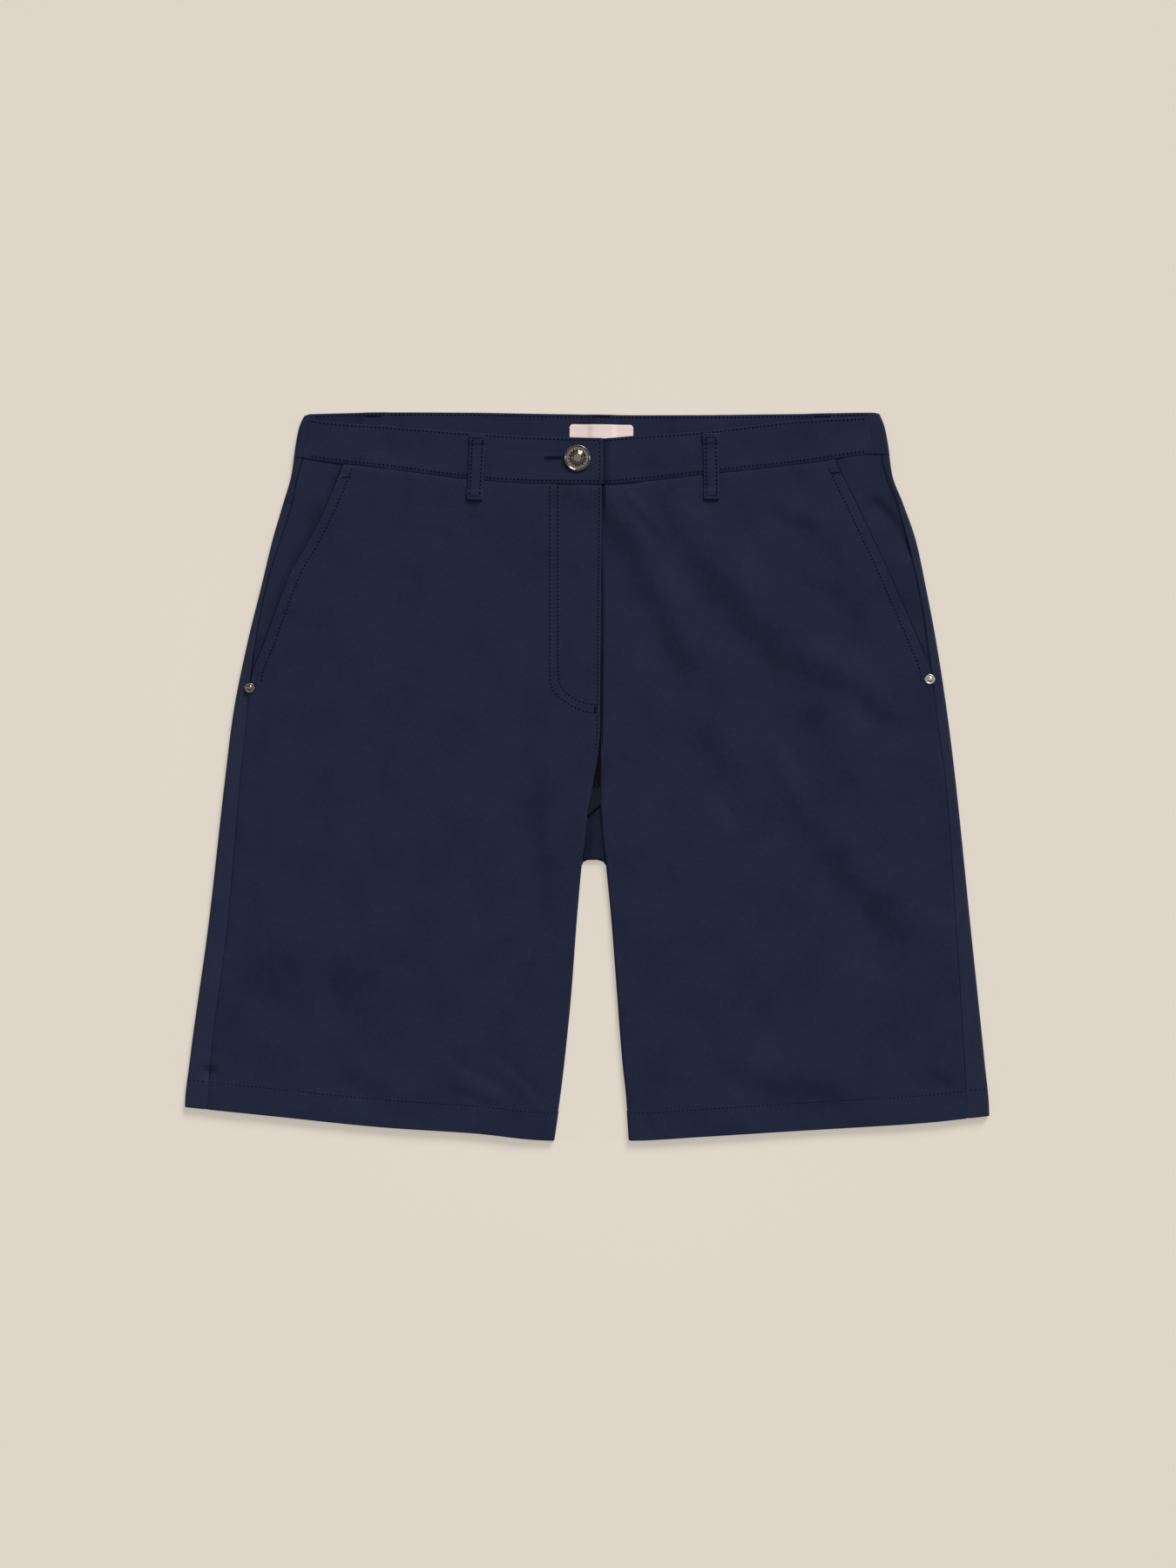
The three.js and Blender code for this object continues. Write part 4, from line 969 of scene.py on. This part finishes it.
def front_grid(side):
    """The front's outer points: its rows, the edge that curls down at the inner end, and the edge's foot."""
    out = OUT[side]
    v, in_hem = rows_with_hem(side, FRONT_TOP_Y, 187, 0.999)
    u = steps_with_ends(96)[None, :]

    def row_y(x):
        return lerp(front_seam_y(x) - SEAM_GAP / 2 - SHEET / 2, hem_y(x) + SHEET / 2, v)

    _, edge_y = solve_rows(lambda y: front_inner_x(side, y) + 0 * v, row_y)
    edge_x = front_inner_x(side, edge_y)
    edge_z = front_height(side, edge_x, edge_y)
    wanted = np.where(edge_y > 14, edge_z - LEAST_CURL, curl_end[side](edge_y))
    hem_end = np.where(in_hem, HEM_SHEET + UNDER + SEAM_GAP, 0)
    end_z = np.maximum(np.minimum(wanted, edge_z - LEAST_CURL), hem_end)
    radius = np.minimum(CURL_RADIUS, edge_z - end_z)

    def place_x(y):
        outer = front_outer_x(side, y) - out * SHEET / 2
        end = front_inner_x(side, y) + out * radius
        if side == "right":
            return lerp(outer, end, u)
        shoulder = lerp(inner_x["left"](y) + LEG_SHOULDER, fly_edge_x(y) + FLY_SHOULDER, fly_strength(y))
        beyond = (u - FLY_SHARE) / (1 - FLY_SHARE)
        return np.where(u < FLY_SHARE, lerp(outer, shoulder, u / FLY_SHARE), lerp(shoulder, end, beyond**2))

    x, y = solve_rows(place_x, row_y)
    flat = xyz(x, y, front_height(side, x, y))
    last = flat[:, -1:]
    angles = steps_across(8, 0, math.pi / 2)[:, 1:]
    curl_x = last[..., 0] - out * radius * np.sin(angles)
    curl_z = last[..., 2] - radius + radius * np.cos(angles)
    curl = xyz(curl_x, edge_y, curl_z)
    foot_z = np.minimum(end_z + SHEET / 2, last[..., 2] - radius) - 0.04
    foot = xyz(edge_x, edge_y, foot_z)
    return np.concatenate([flat, curl, foot], 1), np.where(in_hem, HEM_SHEET, SHEET)


def front_tongue(side):
    """The front's end beside the seam under the fly, which lies under the other cloth."""
    outer, top = {"right": (-4, 6), "left": (12.5, 13)}[side]
    x = lerp(outer, RISE_X + seam_inset(side), steps_across(8))
    y = lerp(top, cross_seam_y(x) + SEAM_GAP / 2 + SHEET / 2, steps_down(24))
    ripple = 0.2 * np.sin(y / 5) * bell((x - RISE_X) / 5)
    return xyz(x, y, TONGUE_HEIGHT + ripple - 1.1 * smooth((y + 12) / 10))


def front_stitches(side):
    def on_front(x, y):
        return front_height(side, np.asarray(x, float), np.asarray(y, float))

    hem = line_along_x(lambda x: hem_y(x) + HEM_STITCH_Y, *FRONT_HEMS[side])
    tack_x, tack_y = {"right": (-176, 219), "left": (182, 222.5)}[side]
    rows = [
        stitch_row(line_along_y(pocket_stitch_x(side, 7.5), 226, 69), on_front),
        stitch_row(hem, on_front, sink=HEM_STITCH_SINK),
        bartack(tack_x, tack_y, 0.1, 6, 1.1, on_front),
    ]
    if side == "right":
        fly_edge = line_along_y(lambda y: front_inner_x("right", y) - 1.9, 212, 19)
        rows += [stitch_row(line, on_front) for line in (FLY_OUTER, FLY_INNER, fly_edge)]
        rows.append(bartack(6, 49, 1.5, 5, 1.7, on_front))
    return rows


def paint(mesh, material, test):
    """Gives a material to the faces that a test of (x, y, present material) picks."""
    if material.name not in mesh.materials:
        mesh.materials.append(material)
    centres = np.zeros(3 * len(mesh.polygons))
    mesh.polygons.foreach_get("center", centres)
    x, y, _ = centres.reshape(-1, 3).T / MM
    present = np.zeros(len(mesh.polygons), int)
    mesh.polygons.foreach_get("material_index", present)
    chosen = np.where(test(x, y, present), mesh.materials.find(material.name), present)
    mesh.polygons.foreach_set("material_index", chosen)


def in_deep_shade(x, y, present):
    """The tongues' faces at the top of the opening under the fly, and along the seam across it, which are
    painted near-black shade.
    """
    top = (y > DEEPEST_Y) & (y < 16)
    return (present == 1) & (top | (np.abs(y - cross_seam_y(x)) < CROSS_SEAM["dark"]))


def make_front(side):
    grid, thickness = front_grid(side)
    parts = [shell(grid, thickness, -OUT[side]), shell(front_tongue(side), SHEET, OUT[side])]
    # The front's tongue is painted deep shade.
    piece = cloth_piece(f"{side}_front", parts, f"{side}_front", last=NAVY_PAINTED_DEEP_SHADE)
    if side == "left":
        # The left front is painted deep shade just beside the fly's edge, where the fly shades it.
        paint(piece.data, NAVY_PAINTED_DEEP_SHADE, lambda x, y, _: (x < fly_edge_x(y) + 1.0) & (y > 16))
    # The top of the opening and the seam across it are painted near-black shade.
    paint(piece.data, NAVY_PAINTED_BLACK_SHADE, in_deep_shade)
    sewn = sewn_piece(f"{side}_front", front_stitches(side), PALE_THREAD)


def facing_edges(side, y):
    """The facing's visible width, and the widths of the strips of painted shade along its seam and under the
    mouth.
    """
    width = np.maximum(np.abs(seam_x(side, y)) - np.abs(pocket_x(side, y)) - (SEAM_GAP + SHEET) / 2, 0.4)
    return width, np.minimum(SEAM_STRIP[side], 0.3 * width), np.minimum(MOUTH_STRIP, 0.4 * width)


def make_facing(side):
    out = OUT[side]
    v = steps_down(70)
    middle, hidden = np.linspace(0, 1, 15), np.linspace(0, 1, 8)[1:]
    # For each column, how far it is across the strip at the seam, the middle, the strip at the mouth and
    # the part that lies hidden under the front
    columns = [(0, 0, 0, 0)] + [(1, t, 0, 0) for t in middle] + [(1, 1, 1, t) for t in (0, *hidden)]
    first, between, second, under = np.array(columns, float).T[:, None, :]

    def place_x(y):
        width, by_seam, by_mouth = facing_edges(side, y)
        inward = first * by_seam + between * (width - by_seam - by_mouth) + second * by_mouth
        return seam_x(side, y) - out * ((SEAM_GAP + SHEET) / 2 + inward + under * FACING_UNDER_POCKET)

    x, y = solve_rows(place_x, lambda x: lerp(front_seam_y(x) - 0.6, POCKET_END_Y + 2.4, v))
    z = facing_height(side, x, y) + 0.12 * np.sin(x / 5 + y / 9) * smooth((y - 80) / 30)
    parts = [shell(xyz(x, y, z), SHEET, -out)]
    piece = cloth_piece(f"{side}_pocket_facing", parts, f"{side}_pocket_facing")

    def in_painted_shade_strips(x, y, _):
        from_seam = np.abs(seam_x(side, y)) - np.abs(x) - (SEAM_GAP + SHEET) / 2
        width, by_seam, by_mouth = facing_edges(side, y)
        return (from_seam < by_seam) | (from_seam > width - by_mouth) & (from_seam < width + 3)

    # The strips along the seam and at the mouth are painted deep shade.
    paint(piece.data, NAVY_PAINTED_DEEP_SHADE, in_painted_shade_strips)


# Backs, yokes and the back waistband, which wrap round the side folds


def wrap_grid(side, near_x, radius, end_x, row_y, v, floor_steps):
    """Rows across a piece that lies on the floor and turns up round one side fold onto the top."""
    out = OUT[side]
    floor = steps_across(floor_steps)
    angles = steps_across(19, 0, math.pi)[:, 1:]
    top = steps_across(7)[:, 1:]

    def turn(y):
        return side_x[side](y) - out * radius

    def on_floor(x, y):
        return UNDER + loop_lift(x, y)

    def on_bend(x, y):
        return UNDER + (radius - UNDER / 2) * (1 - np.cos(angles))

    def on_top(x, y):
        return 2 * radius - pinch(x, y)

    blocks = []
    for place, share_on_top, height in (
        (lambda y: lerp(near_x(y), turn(y), floor), 0 * floor, on_floor),
        (lambda y: turn(y) + out * radius * np.sin(angles), angles / math.pi, on_bend),
        (lambda y: lerp(turn(y), end_x(y), top), 0 * top + 1, on_top),
    ):
        x, y = solve_rows(place, lambda x: row_y(x, share_on_top, v))
        blocks.append(xyz(x, y, height(x, y)))
    return np.concatenate(blocks, 1)


def back_inner_x(side, y):
    leg = inner_x[side](y) + OUT[side] * SHEET / 2
    return lerp(leg, CENTRE_X + seam_inset(side), np.clip((y + 63.5) / 3.5, 0, 1))


def back_tongue(side):
    """The back's end under the crotch, folded up and over onto the top."""
    radius = 1.6
    inner = CENTRE_X + seam_inset(side)
    angles = np.linspace(-math.pi / 2, math.pi / 2, 13)
    middle = TONGUE_HEIGHT - radius
    ys = [CROTCH_Y + radius + 5, *(CROTCH_Y + radius - radius * np.cos(angles)), *np.linspace(-58, -44, 8)]
    zs = [middle - radius + UNDER / 2, *(middle + radius * np.sin(angles)), *([TONGUE_HEIGHT] * 8)]
    u = np.linspace(0, 1, 8)
    rows = []
    for y, z in zip(ys, zs):
        x = lerp(inner, float(tongue_x[side](y)), u)
        sag = 0.5 * smooth((-57 - y) / 4) * ((x - RISE_X) / 9) ** 2
        rows.append(xyz(x, y - sag, z))
    x = lerp(inner, float(tongue_x[side](-30)), u)
    for t in np.linspace(0.1, 1, 12):
        y = lerp(-44, cross_seam_y(x) - (SEAM_GAP + SHEET) / 2, t)
        rows.append(xyz(x, y, TONGUE_HEIGHT + 0.2 * np.sin(y / 4.0)))
    return np.array(rows)


def on_back(x, y):
    return UNDER + loop_lift(x, y)


def back_stitches(side):
    """The rows under the shorts, and the short end of the hem's row that comes round onto the top."""
    out = OUT[side]
    span = sorted([CENTRE_X + out * 2, float(side_x[side](199)) - out * 4])
    under_hem, top_hem = {"right": ((-291, -25), (-293, -280)), "left": ((32, 291), (280, 293))}[side]

    def hem_row(x):
        return hem_y(x) + HEM_STITCH_Y

    rows = []
    for drop in (2.2, 8.2):
        rows.append(stitch_row(line_along_x(lambda x: yoke_seam_y(x) - drop, *span), on_back, -1))
    rows.append(stitch_row(line_along_x(hem_row, *under_hem), on_back, -1))
    top = line_along_x(hem_row, *top_hem)
    rows.append(stitch_row(top, lambda x, y: SIDE_HEIGHT + 0 * x, sink=HEM_STITCH_SINK))
    if side == "left":
        for inset in (2.0, 8.0):
            rows.append(stitch_row(line_along_y(lambda y: CENTRE_X + inset + 0 * y, 174, -56), on_back, -1))
    return rows


def make_back(side):
    v, in_hem = rows_with_hem(side, YOKE_CENTRE_Y, 175)

    def row_y(x, on_top, v):
        return lerp(yoke_seam_y(x) - SHEET * SEAM_MEET, hem_y(x) + SHEET / 2, v)

    grid = wrap_grid(side, lambda y: back_inner_x(side, y), SIDE_HEIGHT / 2,
                     lambda y: seam_x(side, y) + seam_inset(side), row_y, v, 45)
    thickness = np.where(in_hem, HEM_SHEET, SHEET)
    parts = [shell(grid, thickness, -OUT[side]), shell(back_tongue(side), SHEET, -OUT[side])]
    # The back's tongue is painted shade, deeper on the right one.
    tongue = NAVY_PAINTED_DEEP_SHADE if side == "right" else NAVY_PAINTED_SHADE
    piece = cloth_piece(f"{side}_back", parts, f"{side}_back", NAVY_PAINTED_LIGHTER, last=tongue)
    sewn = sewn_piece(f"{side}_back", back_stitches(side), PALE_THREAD)


def back_band_end_y(x, on_top, side):
    return lerp(back_top_y(x) - BACK_BAND_DEPTH, float(front_seam_y(side_x[side](230))), on_top)


def make_yoke(side):
    inset = SHEET * SEAM_MEET

    def row_y(x, on_top, v):
        return lerp(back_band_end_y(x, on_top, side) - inset, yoke_seam_y(x) + inset, v)

    grid = wrap_grid(side, lambda y: CENTRE_X + seam_inset(side) + 0 * y, SIDE_HEIGHT / 2,
                     lambda y: seam_x(side, y) + seam_inset(side), row_y, steps_down(24), 91)
    piece = cloth_piece(f"{side}_yoke", [shell(grid, SHEET, -OUT[side])], f"{side}_yoke")


def on_band_inside(x, y):
    """Height of the back waistband's inner side, which faces up."""
    return UNDER + BAND_SHEET + loop_lift(x, y)


def make_back_band():
    inset = SEAM_GAP / 2 + SHEET / 2
    halves = {}
    for side, out in OUT.items():
        def row_y(x, on_top, v):
            top = lerp(back_top_y(x), float(front_top_y(side_x[side](265))), on_top) - BAND_SHEET / 2
            return lerp(top, back_band_end_y(x, on_top, side) + inset, v)

        halves[side] = wrap_grid(side, lambda y: CENTRE_X + 0 * y, BAND_HEIGHT / 2,
                                 lambda y: band_seam_x[side](y) + out * inset, row_y, steps_down(18), 91)
    grid = np.concatenate([halves["right"][:, ::-1], halves["left"][:, 1:]], 1)
    piece = cloth_piece("back_waistband", [shell(grid, BAND_SHEET, -1)], "waistband_back")
    rows = [stitch_row(line_along_x(lambda x: back_top_y(x) - 2.0, -200, 206), on_band_inside)]
    for drop in (2.0, BACK_BAND_DEPTH - 2.0):
        rows.append(stitch_row(line_along_x(lambda x: back_top_y(x) - drop, -204, 211), on_back, -1))
    for x in BACK_LOOPS.values():
        rows.append(bartack(x, BACK_LOOP_TOP_Y, 0, 12, 0.9, on_band_inside))
    sewn = sewn_piece("back_waistband", rows)


# Front waistband


def on_band(side):
    """The height of a front waistband's outer side, as a function of (x, y)."""
    def height(x, y):
        above = y - front_seam_y(x)
        groove = 1.2 * bell((x - TAB_END_X - 1.2) / 1.6) * (side == "left")
        bulk = 0.15 * bell((above - 4) / 3) - 0.45 * bell(above / 0.6)
        return band_height(side, np.asarray(x, float)) + band_relief(x, y) + bulk - groove

    return height


def band_relief(x, y):
    """The band's faint waves, and the pull towards the button."""
    pull = bell((y - 237 - 0.06 * (-25 - x)) / 2.2) * smooth((x + 78) / 30) * smooth((-14 - x) / 10)
    slow = 0.22 * np.sin(x / 13 + y / 9 + 1.3 * np.sin(x / 31)) + 0.17 * np.sin(x / 21 - y / 5 + 2)
    return slow + 0.06 * np.sin(x / 4.1 + y / 7) - 0.28 * pull


def band_grid(side, near_x, columns):
    inset = SEAM_GAP / 2 + SHEET / 2
    u, v = steps_across(columns), steps_down(28)

    def place_x(y):
        return lerp(band_seam_x[side](y) - OUT[side] * inset, near_x, u)

    def row_y(x):
        return lerp(front_top_y(x) - BAND_SHEET / 2, front_seam_y(x) + inset - 0.25, v)

    x, y = solve_rows(place_x, row_y)
    return xyz(x, y, on_band(side)(x, y))


def band_rows(side, near_x, outer_x):
    span = sorted([near_x, outer_x])
    height = on_band(side)
    return [
        stitch_row(line_along_x(lambda x: front_top_y(x) - 1.8, *span), height),
        stitch_row(line_along_x(lambda x: front_seam_y(x) + 2.6, *span), height),
    ]


def buttonhole():
    """Purl stitches round the slit: one row on each long side, and a half ring at its far end."""
    height = on_band("right")
    start, middle = BUTTONHOLE["start"] + 1, BUTTONHOLE["y"]
    beside_slit = BUTTONHOLE["width"] / 2 + 0.35
    x = np.arange(start, BUTTONHOLE["end"], 0.62)
    rows = [(x, middle + sign * beside_slit, height(x, middle), [0.12, 1, 0]) for sign in (-1, 1)]
    angles = np.linspace(math.pi / 2, 3 * math.pi / 2, 9)
    x, y = start + np.cos(angles), middle + np.sin(angles)
    rows.append((x, y, height(x, y), xyz(np.cos(angles), np.sin(angles), 0)))
    return [thread(xyz(x, y, z + THREAD_LIFT), along, 1, **PURL) for x, y, z, along in rows]


def buttonhole_slit():
    """A thin dark thread laid along the slit, which stands for the shade in the cut: painted shade."""
    start, end, y = (BUTTONHOLE[key] for key in ("start", "end", "y"))
    x = (start + end) / 2
    centre = np.array([[x, y, float(on_band("right")(x, y)) + 0.05]])
    return thread(centre, [1, 0, 0], 1, end - start - 2, 0.5, 0.3)


def make_front_bands():
    right = [shell(band_grid("right", TAB_END_X - BAND_SHEET / 2, 110), BAND_SHEET, 1)]
    left = [shell(band_grid("left", BAND_UNDERLAP_X, 124), BAND_SHEET, -1)]
    right_band = cloth_piece("right_front_waistband", right, "waistband_right_front")
    left_band = cloth_piece("left_front_waistband", left, "waistband_left_front")
    # The left band is painted deep shade under the tab and just beyond its end.
    paint(left_band.data, NAVY_PAINTED_DEEP_SHADE, lambda x, y, _: x < TAB_END_X + 2.0)
    right_rows = band_rows("right", TAB_END_X - 2.2, -203)
    tab_end = line_along_y(lambda y: TAB_END_X - 2.4 + 0 * y, 245.4, 216.6)
    right_rows.append(stitch_row(tab_end, on_band("right")))
    right_rows.append(buttonhole_slit())
    right_sewn = sewn_piece("right_front_waistband", right_rows)
    left_sewn = sewn_piece("left_front_waistband", band_rows("left", TAB_END_X + 1.2, 204))
    purl = sewn_piece("buttonhole", buttonhole(), PURL_THREAD)


# Belt loops


def loop_edge_rows(top_x, end_x, top_y, half, height, facing):
    """The two stitch rows that run down a belt loop, one along each edge."""
    rows = []
    for offset in (LOOP_STITCH_INSET - half, half - LOOP_STITCH_INSET):
        line = polyline([(top_x + offset, top_y - 3), (end_x + offset, top_y - LOOP_LENGTH + 3)])
        rows.append(stitch_row(line, height, facing))
    return rows


def make_front_loop(side):
    top_x, end_x, top_y = FRONT_LOOPS[side]
    v = np.unique([*np.linspace(0, 1, 44), 0.125, 0.155, 0.845, 0.875])[:, None]
    half = LOOP_WIDTH / 2 - LOOP_SHEET / 2
    w = steps_across(9, -half, half)
    x = lerp(top_x, end_x, v) + w * lerp(1.1, 1.05, v)
    y = top_y - v * LOOP_LENGTH + 0 * w
    folded = 1 - smooth((v - 0.12) / 0.04) + smooth((v - 0.84) / 0.04)
    under = np.maximum(band_height(side, x), front_height(side, x, y, fine=False))
    arch = 0.25 * (1 - (w / half) ** 2) + 0.25 * np.sin(math.pi * np.clip((v - 0.2) / 0.6, 0, 1))
    z = under + SEAM_GAP + LOOP_SHEET + LOOP_END_FOLD * folded + arch - 0.25
    grid = xyz(x, y, z)

    def height(px, py):
        at = np.clip((top_y - py) / LOOP_LENGTH, 0, 1)
        return np.interp(at, v[:, 0], grid[:, 4, 2]) + 0 * px

    parts = [shell(grid, LOOP_SHEET + LOOP_END_FOLD * folded - 0.2, 1)]
    piece = cloth_piece(f"{side}_front_loop", parts, f"{side}_front_loop")
    rows = loop_edge_rows(top_x, end_x, top_y, half, height, 1)
    for x0, y0 in ((top_x, top_y - 2.6), (end_x, top_y - LOOP_LENGTH + 2.2)):
        line = polyline([(x0 - half + 1, y0), (x0 + half - 1, y0)])
        rows.append(stitch_row(line, height, pitch=1.5, length=1.2, width=0.5))
    sewn = sewn_piece(f"{side}_front_loop", rows)


def make_back_loop(name, x0):
    v = steps_down(24)
    half = LOOP_WIDTH / 2 - BACK_LOOP_SHEET / 2
    w = steps_across(7, -half, half)
    y = BACK_LOOP_TOP_Y - 0.4 - v * (LOOP_LENGTH - 0.8)

    def height(x, y):
        return UNDER + 0 * x

    parts = [shell(xyz(x0 + w, y, UNDER), BACK_LOOP_SHEET - UNDER, -1)]
    piece = cloth_piece(name, parts, name)
    rows = loop_edge_rows(x0, x0, BACK_LOOP_TOP_Y, half, height, -1)
    for y0 in (BACK_LOOP_TOP_Y - 2.4, BACK_LOOP_TOP_Y - LOOP_LENGTH + 2.6):
        rows.append(bartack(x0, y0, 0, 9, 1.5, height, -1))
    sewn = sewn_piece(name, rows)


# Label, zip and hardware


def make_label():
    v = steps_down(22)
    u = steps_across(60, -1, 1)
    half = LABEL["width"] / 2 - 0.3
    corner = 1.6
    drop = corner * np.clip((np.abs(u) * half - half + corner) / corner, 0, 1) ** 2
    x = LABEL["x"] + u * half
    tilt = -0.012 * (x - LABEL["x"])
    y = LABEL["top"] - 0.3 - drop + tilt - v * (LABEL["height"] - 0.6 - drop)
    z = on_band_inside(x, y) + 0.55 + 0.12 * np.sin(x / 7) + 0.25 * smooth((0.25 - v) / 0.25)
    parts = [shell(xyz(x, y, z), 0.5, -1)]
    piece = solid_piece("label_ribbon", parts, PINK, "label")


def box_part(low, high):
    """A box between two corners."""
    (x0, y0, z0), (x1, y1, z1) = low, high
    verts = [(x, y, z) for x in (x0, x1) for y in (y0, y1) for z in (z0, z1)]
    faces = [[0, 1, 3, 2], [4, 6, 7, 5], [0, 4, 5, 1], [2, 3, 7, 6], [0, 2, 6, 4], [1, 5, 7, 3]]
    return np.array(verts), faces


def make_zip():
    """The tape in two halves, with the closed chain, its slider at the top and the stop at the bottom."""
    base = UNDERLAP_HEIGHT + SEAM_GAP
    x0, half = ZIP["x"], ZIP["tape"] / 2
    y = steps_down(60, ZIP["top"] - 0.4, ZIP["end"] + 0.4)
    tapes = []
    for sign in (-1, 1):
        w = steps_across(12, 0.4, half - 0.4)
        z = base + 0.85 + 0.05 * np.sin(y / 3)
        tapes.append(shell(xyz(x0 + sign * w, y, z), 0.7, sign))
    piece = solid_piece("zip_tape", tapes, NAVY_TAPE, "fly_zip")
    teeth = []
    slider_y = ZIP["top"] - 14
    for k, y in enumerate(np.arange(ZIP["end"] + 6, slider_y, 1.1)):
        x = x0 + (1.1 if k % 2 else -1.1)
        teeth.append(box_part((x - 1.5, y, base + 0.7), (x + 1.5, y + 0.8, base + 1.3)))
    teeth.append(box_part((x0 - 3.2, slider_y, base + 0.68), (x0 + 3.2, slider_y + 8, base + 1.38)))
    teeth.append(box_part((x0 - 2.4, ZIP["end"] + 3, base + 0.7), (x0 + 2.4, ZIP["end"] + 5.4, base + 1.35)))
    chain = solid_piece("zip_chain", teeth, STEEL_AND_PAINTED_GLINT, smooth_shade=False)


def dome(radius, rise, z, steps, start):
    """Profile points of a flattened dome, up to the axis."""
    points = [(radius * math.cos(a), z + rise * math.sin(a)) for a in np.linspace(start, math.pi / 2, steps)]
    return points[:-1] + [(0, z + rise)]


def make_button():
    """A shank button: a rolled rim, a hollow ring with plain beads in it, and a domed middle."""
    radius = BUTTON["radius"]
    foot, head = TAB_HEIGHT - 1.5, TAB_HEIGHT + SEAM_GAP
    stem = [(0, foot), (1.6, foot), (1.6, head - 0.1)]
    edge = [(radius - 1.2, head - 0.1), (radius - 0.5, head + 0.15)]
    rim = np.linspace(-1, 1.2, 6)
    edge += [(radius - 0.1 + 0.1 * math.cos(a), head + 0.8 + 0.65 * math.sin(a)) for a in rim]
    ring = [(0.45, 1.5), (0.7, 1.4), (1.0, 1.0), (1.6, 0.8), (2.6, 0.85), (3.6, 1.1), (4.6, 1.55)]
    ring = [(radius - inwards, head + up) for inwards, up in ring]
    shoulder = [(4.5, head + 1.95), (4.1, head + 2.1)]
    profile = stem + edge + ring + shoulder + dome(3.8, 0.85, head + 2.0, 9, 0.12)
    parts = [lathe(profile, BUTTON["x"], BUTTON["y"], 96)]
    size = BEADS["radius"]
    bead = [(size * math.sin(a), head + 1.3 - size * math.cos(a)) for a in np.linspace(0, math.pi, 9)]
    for a in np.linspace(0, 2 * math.pi, BEADS["count"], endpoint=False):
        x, y = BUTTON["x"] + BEADS["ring"] * math.cos(a), BUTTON["y"] + BEADS["ring"] * math.sin(a)
        parts.append(lathe(bead, x, y, 14))
    solid_piece("button_metal", parts, GUNMETAL, "button")


def make_rivet(side):
    """A rivet's cap: a rolled rim round a small domed middle."""
    # The two rivets are alike, but the left one gets the paler metal: a painted glint for the light it
    # reflects.
    x, y, metal = {"right": (-247.3, 64.6, GUNMETAL), "left": (251.1, 71, STEEL_AND_PAINTED_GLINT)}[side]
    seat = POCKET_HEIGHT + SEAM_GAP - 0.15
    cap = [(0, 0), (3.3, 0), (3.62, 0.12), (3.75, 0.38), (3.68, 0.66), (3.4, 0.86), (3.0, 0.86),
           (2.7, 0.7), (2.45, 0.62), (2.1, 0.66), (1.6, 0.9)]
    profile = [(r, seat + up) for r, up in cap] + dome(1.5, 0.42, seat + 0.95, 6, 0.1)
    solid_piece(f"{side}_rivet_metal", [lathe(profile, x, y, 48)], metal, f"{side}_rivet")


def tongue_stitches():
    """The two rows on the seam that shows in the opening under the fly."""
    def height(x, y):
        return TONGUE_HEIGHT + 0 * x

    lines = [polyline([(RISE_X - offset, 3), (RISE_X - offset - 0.4, -26.5)]) for offset in (1.6, 4.2)]
    sewn_piece("crotch", [stitch_row(line, height) for line in lines])


for side in OUT:
    make_front(side)
    make_facing(side)
    make_back(side)
    make_yoke(side)
    make_front_loop(side)
    make_rivet(side)
make_back_band()
make_front_bands()
for name, x0 in BACK_LOOPS.items():
    make_back_loop(name, x0)
make_label()
make_zip()
make_button()
tongue_stitches()


# Floor, light and camera


def make_floor():
    bpy.ops.mesh.primitive_plane_add(size=8)
    floor = bpy.context.object
    floor.name = "Floor"
    floor.data.materials.append(floor_material())


def add_sun(name, direction, strength, spread, colour):
    """A soft sun: direction points from the shorts towards the light."""
    light = bpy.data.lights.new(name, "SUN")
    light.energy = strength
    light.angle = math.radians(spread)
    light.color = colour
    lamp = bpy.data.objects.new(name, light)
    x, y, z = direction
    lamp.rotation_euler = (math.atan2(math.hypot(x, y), z), 0, math.atan2(y, x) + math.pi / 2)
    bpy.context.collection.objects.link(lamp)


def make_lights():
    world = bpy.data.worlds.new("World")
    world.use_nodes = True
    sky = world.node_tree.nodes["Background"].inputs
    sky["Color"].default_value = (0.96, 0.975, 1.0, 1)
    sky["Strength"].default_value = 0.19
    bpy.context.scene.world = world
    add_sun("Key", (0.66, 1.5, 1.0), 3.2, 26, (1.0, 0.97, 0.925))
    add_sun("Overhead", (0.0, 0.05, 1.0), 0.5, 60, (1.0, 0.99, 0.97))
    for side in (-1, 1):
        add_sun("Side", (4.5 * side, 0.3, 1.0), 0.5, 12, (1.0, 0.99, 0.97))


def make_camera():
    camera = bpy.data.cameras.new("Camera")
    camera.type = "PERSP"
    camera.lens = 75
    camera.sensor_width = 36
    camera.sensor_fit = "AUTO"
    camera.clip_end = 100
    viewer = bpy.data.objects.new("Camera", camera)
    viewer.location = (0.00064, -0.00576, 2.4)
    viewer.rotation_euler = (0, 0, 0)
    bpy.context.collection.objects.link(viewer)
    bpy.context.scene.camera = viewer


make_floor()
make_lights()
make_camera()
bpy.context.scene.view_settings.view_transform = "Standard"
bpy.context.scene.view_settings.look = "None"
